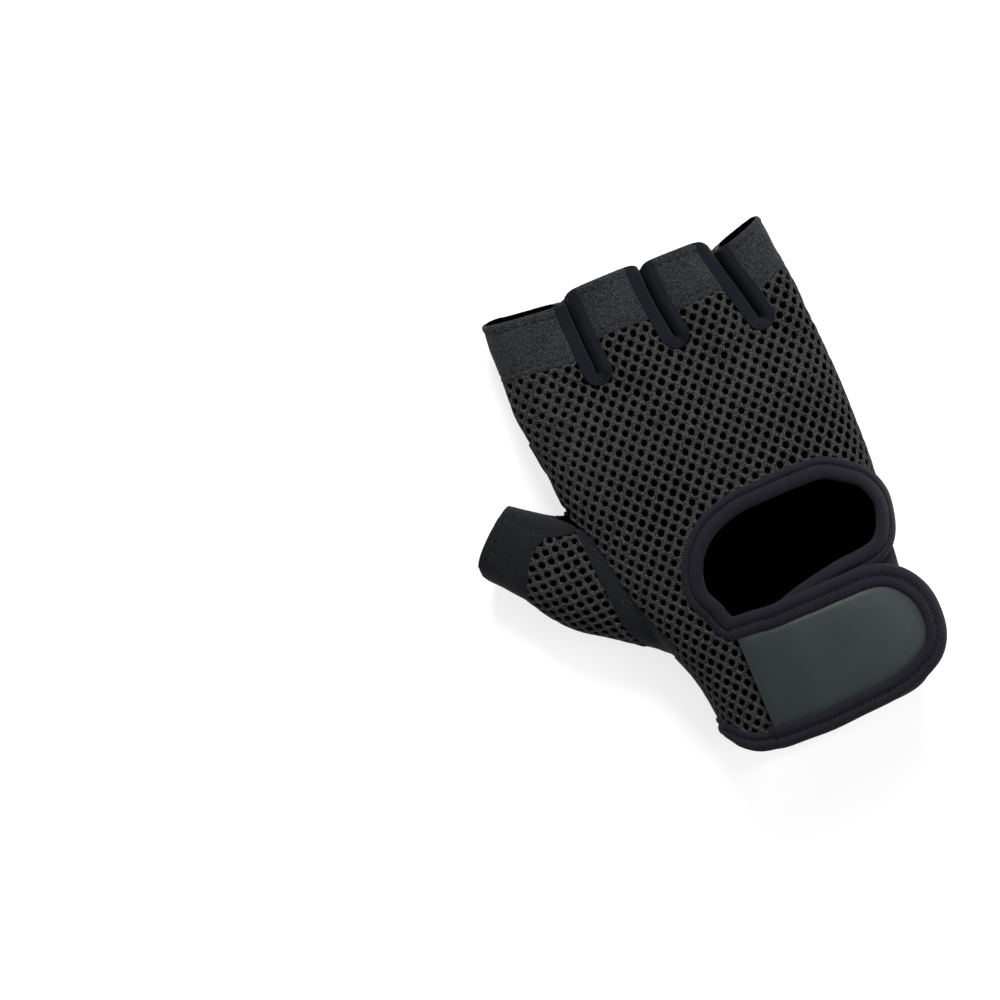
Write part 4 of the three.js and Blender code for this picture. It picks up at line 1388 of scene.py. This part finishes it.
patch = spline(patch_edge, fine)[::6]
strap_sheet("strap_satin_patch", patch, strap_level, 0.9, satin, "strap_patch", 0.35, 0.5)
strap_sheet("strap_body", shifted(patch, 3.0), 0.4, 1.3, stretch, "strap", 0.0, 0.0)
strap_section = spline([
    (-0.9, 1.9), (-0.7, 3.1), (0.3, 3.75), (1.3, 3.85), (2.2, 3.5), (2.75, 3.05), (3.3, 3.5),
    (4.3, 3.8), (5.4, 3.5), (6.2, 2.4), (6.1, 1.1), (5.2, 0.4), (3.5, 0.3), (1.0, 0.3), (-0.6, 0.6),
], 0.6, True)
strap_path = spline([(-19.5, 6.9)] + patch_edge[::-1] + [(-19.5, 37.4), (-23.5, 39.5)], fine)
p, faces = tape_ring(strap_path, False, strap_section, strap_surface, 12)
# The ends of the tape sink under the tapes of the vent and of the wrist
p[:, 2] -= np.where(p[:, 1] < 20, 3.8, 3.0) * steady((strap_root + 0.8 - p[:, 0]) / 4)
p[:, 2] = np.maximum(p[:, 2], hand_top(p[:, 0], p[:, 1], 0.0, strap_overhang) - 0.9)
build_tape("strap_tape", p, faces, tape, "strap_binding")

# Rows of stitches: short rounded threads pressed into the surface they lie on
threads = []
thread_bow = np.sin(np.linspace(0.12, 0.88, thread_steps) * math.pi)
thread_ring = circle(thread_sides)[:, None]
ahead_of = np.minimum(np.arange(thread_steps) + 1, thread_steps - 1)
behind = np.maximum(np.arange(thread_steps) - 1, 0)


def stitches(line, name, down=False, pitch=2.9, length=1.9, radius=0.2, sink=0.05):
    """Threads along a plan line, laid on a piece that is met from above or from below."""
    run = run_along(line)
    way = -1.0 if down else 1.0
    for start in np.arange(0.4, run[-1] - length, pitch):
        at = np.linspace(start, start + length * rng.uniform(0.85, 1.0), thread_steps)
        path = np.stack([np.interp(at, run, line[:, k]) for k in (0, 1)], axis=1)
        path = path + rng.normal(0, 0.05, 2)
        met = [surfaces[name].ray_cast((x, y, -way * sky), (0, 0, way)) for x, y in path.tolist()]
        if any(found[0] is None for found in met):
            continue
        where, normal = (np.array([found[k] for found in met]) for k in (0, 1))
        normal *= np.where((normal[:, 2:] > 0) == down, 1, -1)
        side = np.cross(unit(where[ahead_of] - where[behind]), normal)
        middle = where + normal * (radius * (thread_bow - 0.6) - sink)[:, None]
        thick = (radius * (0.45 + 0.55 * thread_bow))[:, None, None]
        round_it = np.cos(thread_ring) * side[:, None] + np.sin(thread_ring) * normal[:, None]
        threads.append(tube(middle[:, None] + thick * round_it))


edge_thread = {"down": True, "radius": 0.17}
for name, (_, _, tip, reach, _) in fingers.items():
    side = np.linspace(0.08, 0.92, 40)
    x = (tip[0] + side * (tip[1] - tip[0])) * hand_breadth
    y = (reach[0] + side * (reach[1] - reach[0])) * glove_length + longer_back[name]
    stitches(np.column_stack([x, y - 2.4]), name + "_suede_band", **edge_thread)
    stitches(band_curve + [0, 1.5], name + "_suede_band", **edge_thread)
    for inset in (2.0, 4.0):
        stitches(np.column_stack([x, y + shown_lip[name] - inset]), "palm_suede")
for line in slit_curves.values():
    for inset in seam_rows:
        border = slot_outline(line[line[:, 1] < 0.97 * glove_length], fourchette_width / 2 + inset)
        stitches(border, "palm_suede")
for inset in seam_rows:
    stitches(shifted(pad_curve, -inset, True), "palm_pad_suede")
for inset in (-0.9, 0.9):
    stitches(shifted(quilt, inset), "palm_pad_suede")
for inset in (-1.2, 1.2):
    for name in ("thumb_palm_suede", "thumb_gusset_suede"):
        stitches(shifted(gusset_curve, inset, True), name)
for inset in (1.6, -1.6):
    stitches(shifted(seam_curve, inset), "thumb_palm_suede")
stitches(shifted(fold_curve, -1.6), "thumb_suede_band", **edge_thread)
across = np.linspace(-13, 12, 40)
mouth_line = thumb_mouth + np.outer(across, thumb_across)
mouth_line = mouth_line - np.outer(2.2 + mouth_slant * (across - mouth_pivot), thumb_out)
stitches(mouth_line, "thumb_suede_band", **edge_thread)
stitches(shifted(strap_path, -2.75), "strap_tape", True, 2.3, 1.6, 0.24)
stitches(shifted(vent_path, -4.15, True), "vent_tape", True, 2.6, 1.7, 0.14)
hem_x = np.linspace(-28.5, 38, 120)
for down in (True, False):
    stitches(np.column_stack([hem_x, hem(hem_x) + 3.7]), "hem_tape", down, 2.5, 1.6, 0.18)
first = np.cumsum([0] + [len(points) for points, faces in threads])
p = np.vstack([points for points, faces in threads])
faces = np.vstack([faces + start for (points, faces), start in zip(threads, first)])
build("stitching", p, faces, [thread], None)

# Camera straight above, turned as in the photograph
frame_width = 310.0
focus_height = 22.0
camera_distance = 1100.0
camera_turn = 23
sensor = 36.0
camera = linked("camera", bpy.data.cameras.new("camera"))
bpy.context.scene.camera = camera
look = np.array([-66.5, 103.7, focus_height + camera_distance]) + offset
camera.location = Vector(look * metre)
camera.rotation_euler = (0, 0, -math.radians(camera_turn))
camera.data.sensor_width = sensor
camera.data.lens = sensor * camera_distance / frame_width

# Studio: pale floor, a wide soft box above and a weak one from the side
floor_half = 3.0
floor_data = bpy.data.meshes.new("floor")
floor_corners = [(-1, -1), (1, -1), (1, 1), (-1, 1)]
floor_data.from_pydata(
    [(x * floor_half, y * floor_half, -0.0004) for x, y in floor_corners], [], [(0, 1, 2, 3)],
)
floor = linked("floor", floor_data)
paper = plain("floor_paper", (0.4, 0.4, 0.4))
glow = paper.node_tree.nodes["Principled BSDF"]
glow.inputs["Emission Color"].default_value = (1, 1, 1, 1)
glow.inputs["Emission Strength"].default_value = 0.72
floor_data.materials.append(paper)
for name, place, size, power in (("key", (0.3, 0.95, 0.9), 0.6, 23), ("fill", (0.9, 0.0, 1.1), 0.9, 6)):
    lamp = bpy.data.lights.new(name, "AREA")
    lamp.shape = "DISK"
    lamp.size = size
    lamp.energy = power
    light = linked(name, lamp)
    light.location = place
    light.rotation_euler = (-Vector(place)).to_track_quat("-Z", "Y").to_euler()
world = bpy.data.worlds.new("studio")
world.use_nodes = True
world.node_tree.nodes["Background"].inputs["Color"].default_value = (1, 1, 1, 1)
world.node_tree.nodes["Background"].inputs["Strength"].default_value = 0.5
bpy.context.scene.world = world
bpy.context.scene.view_settings.view_transform = "Standard"
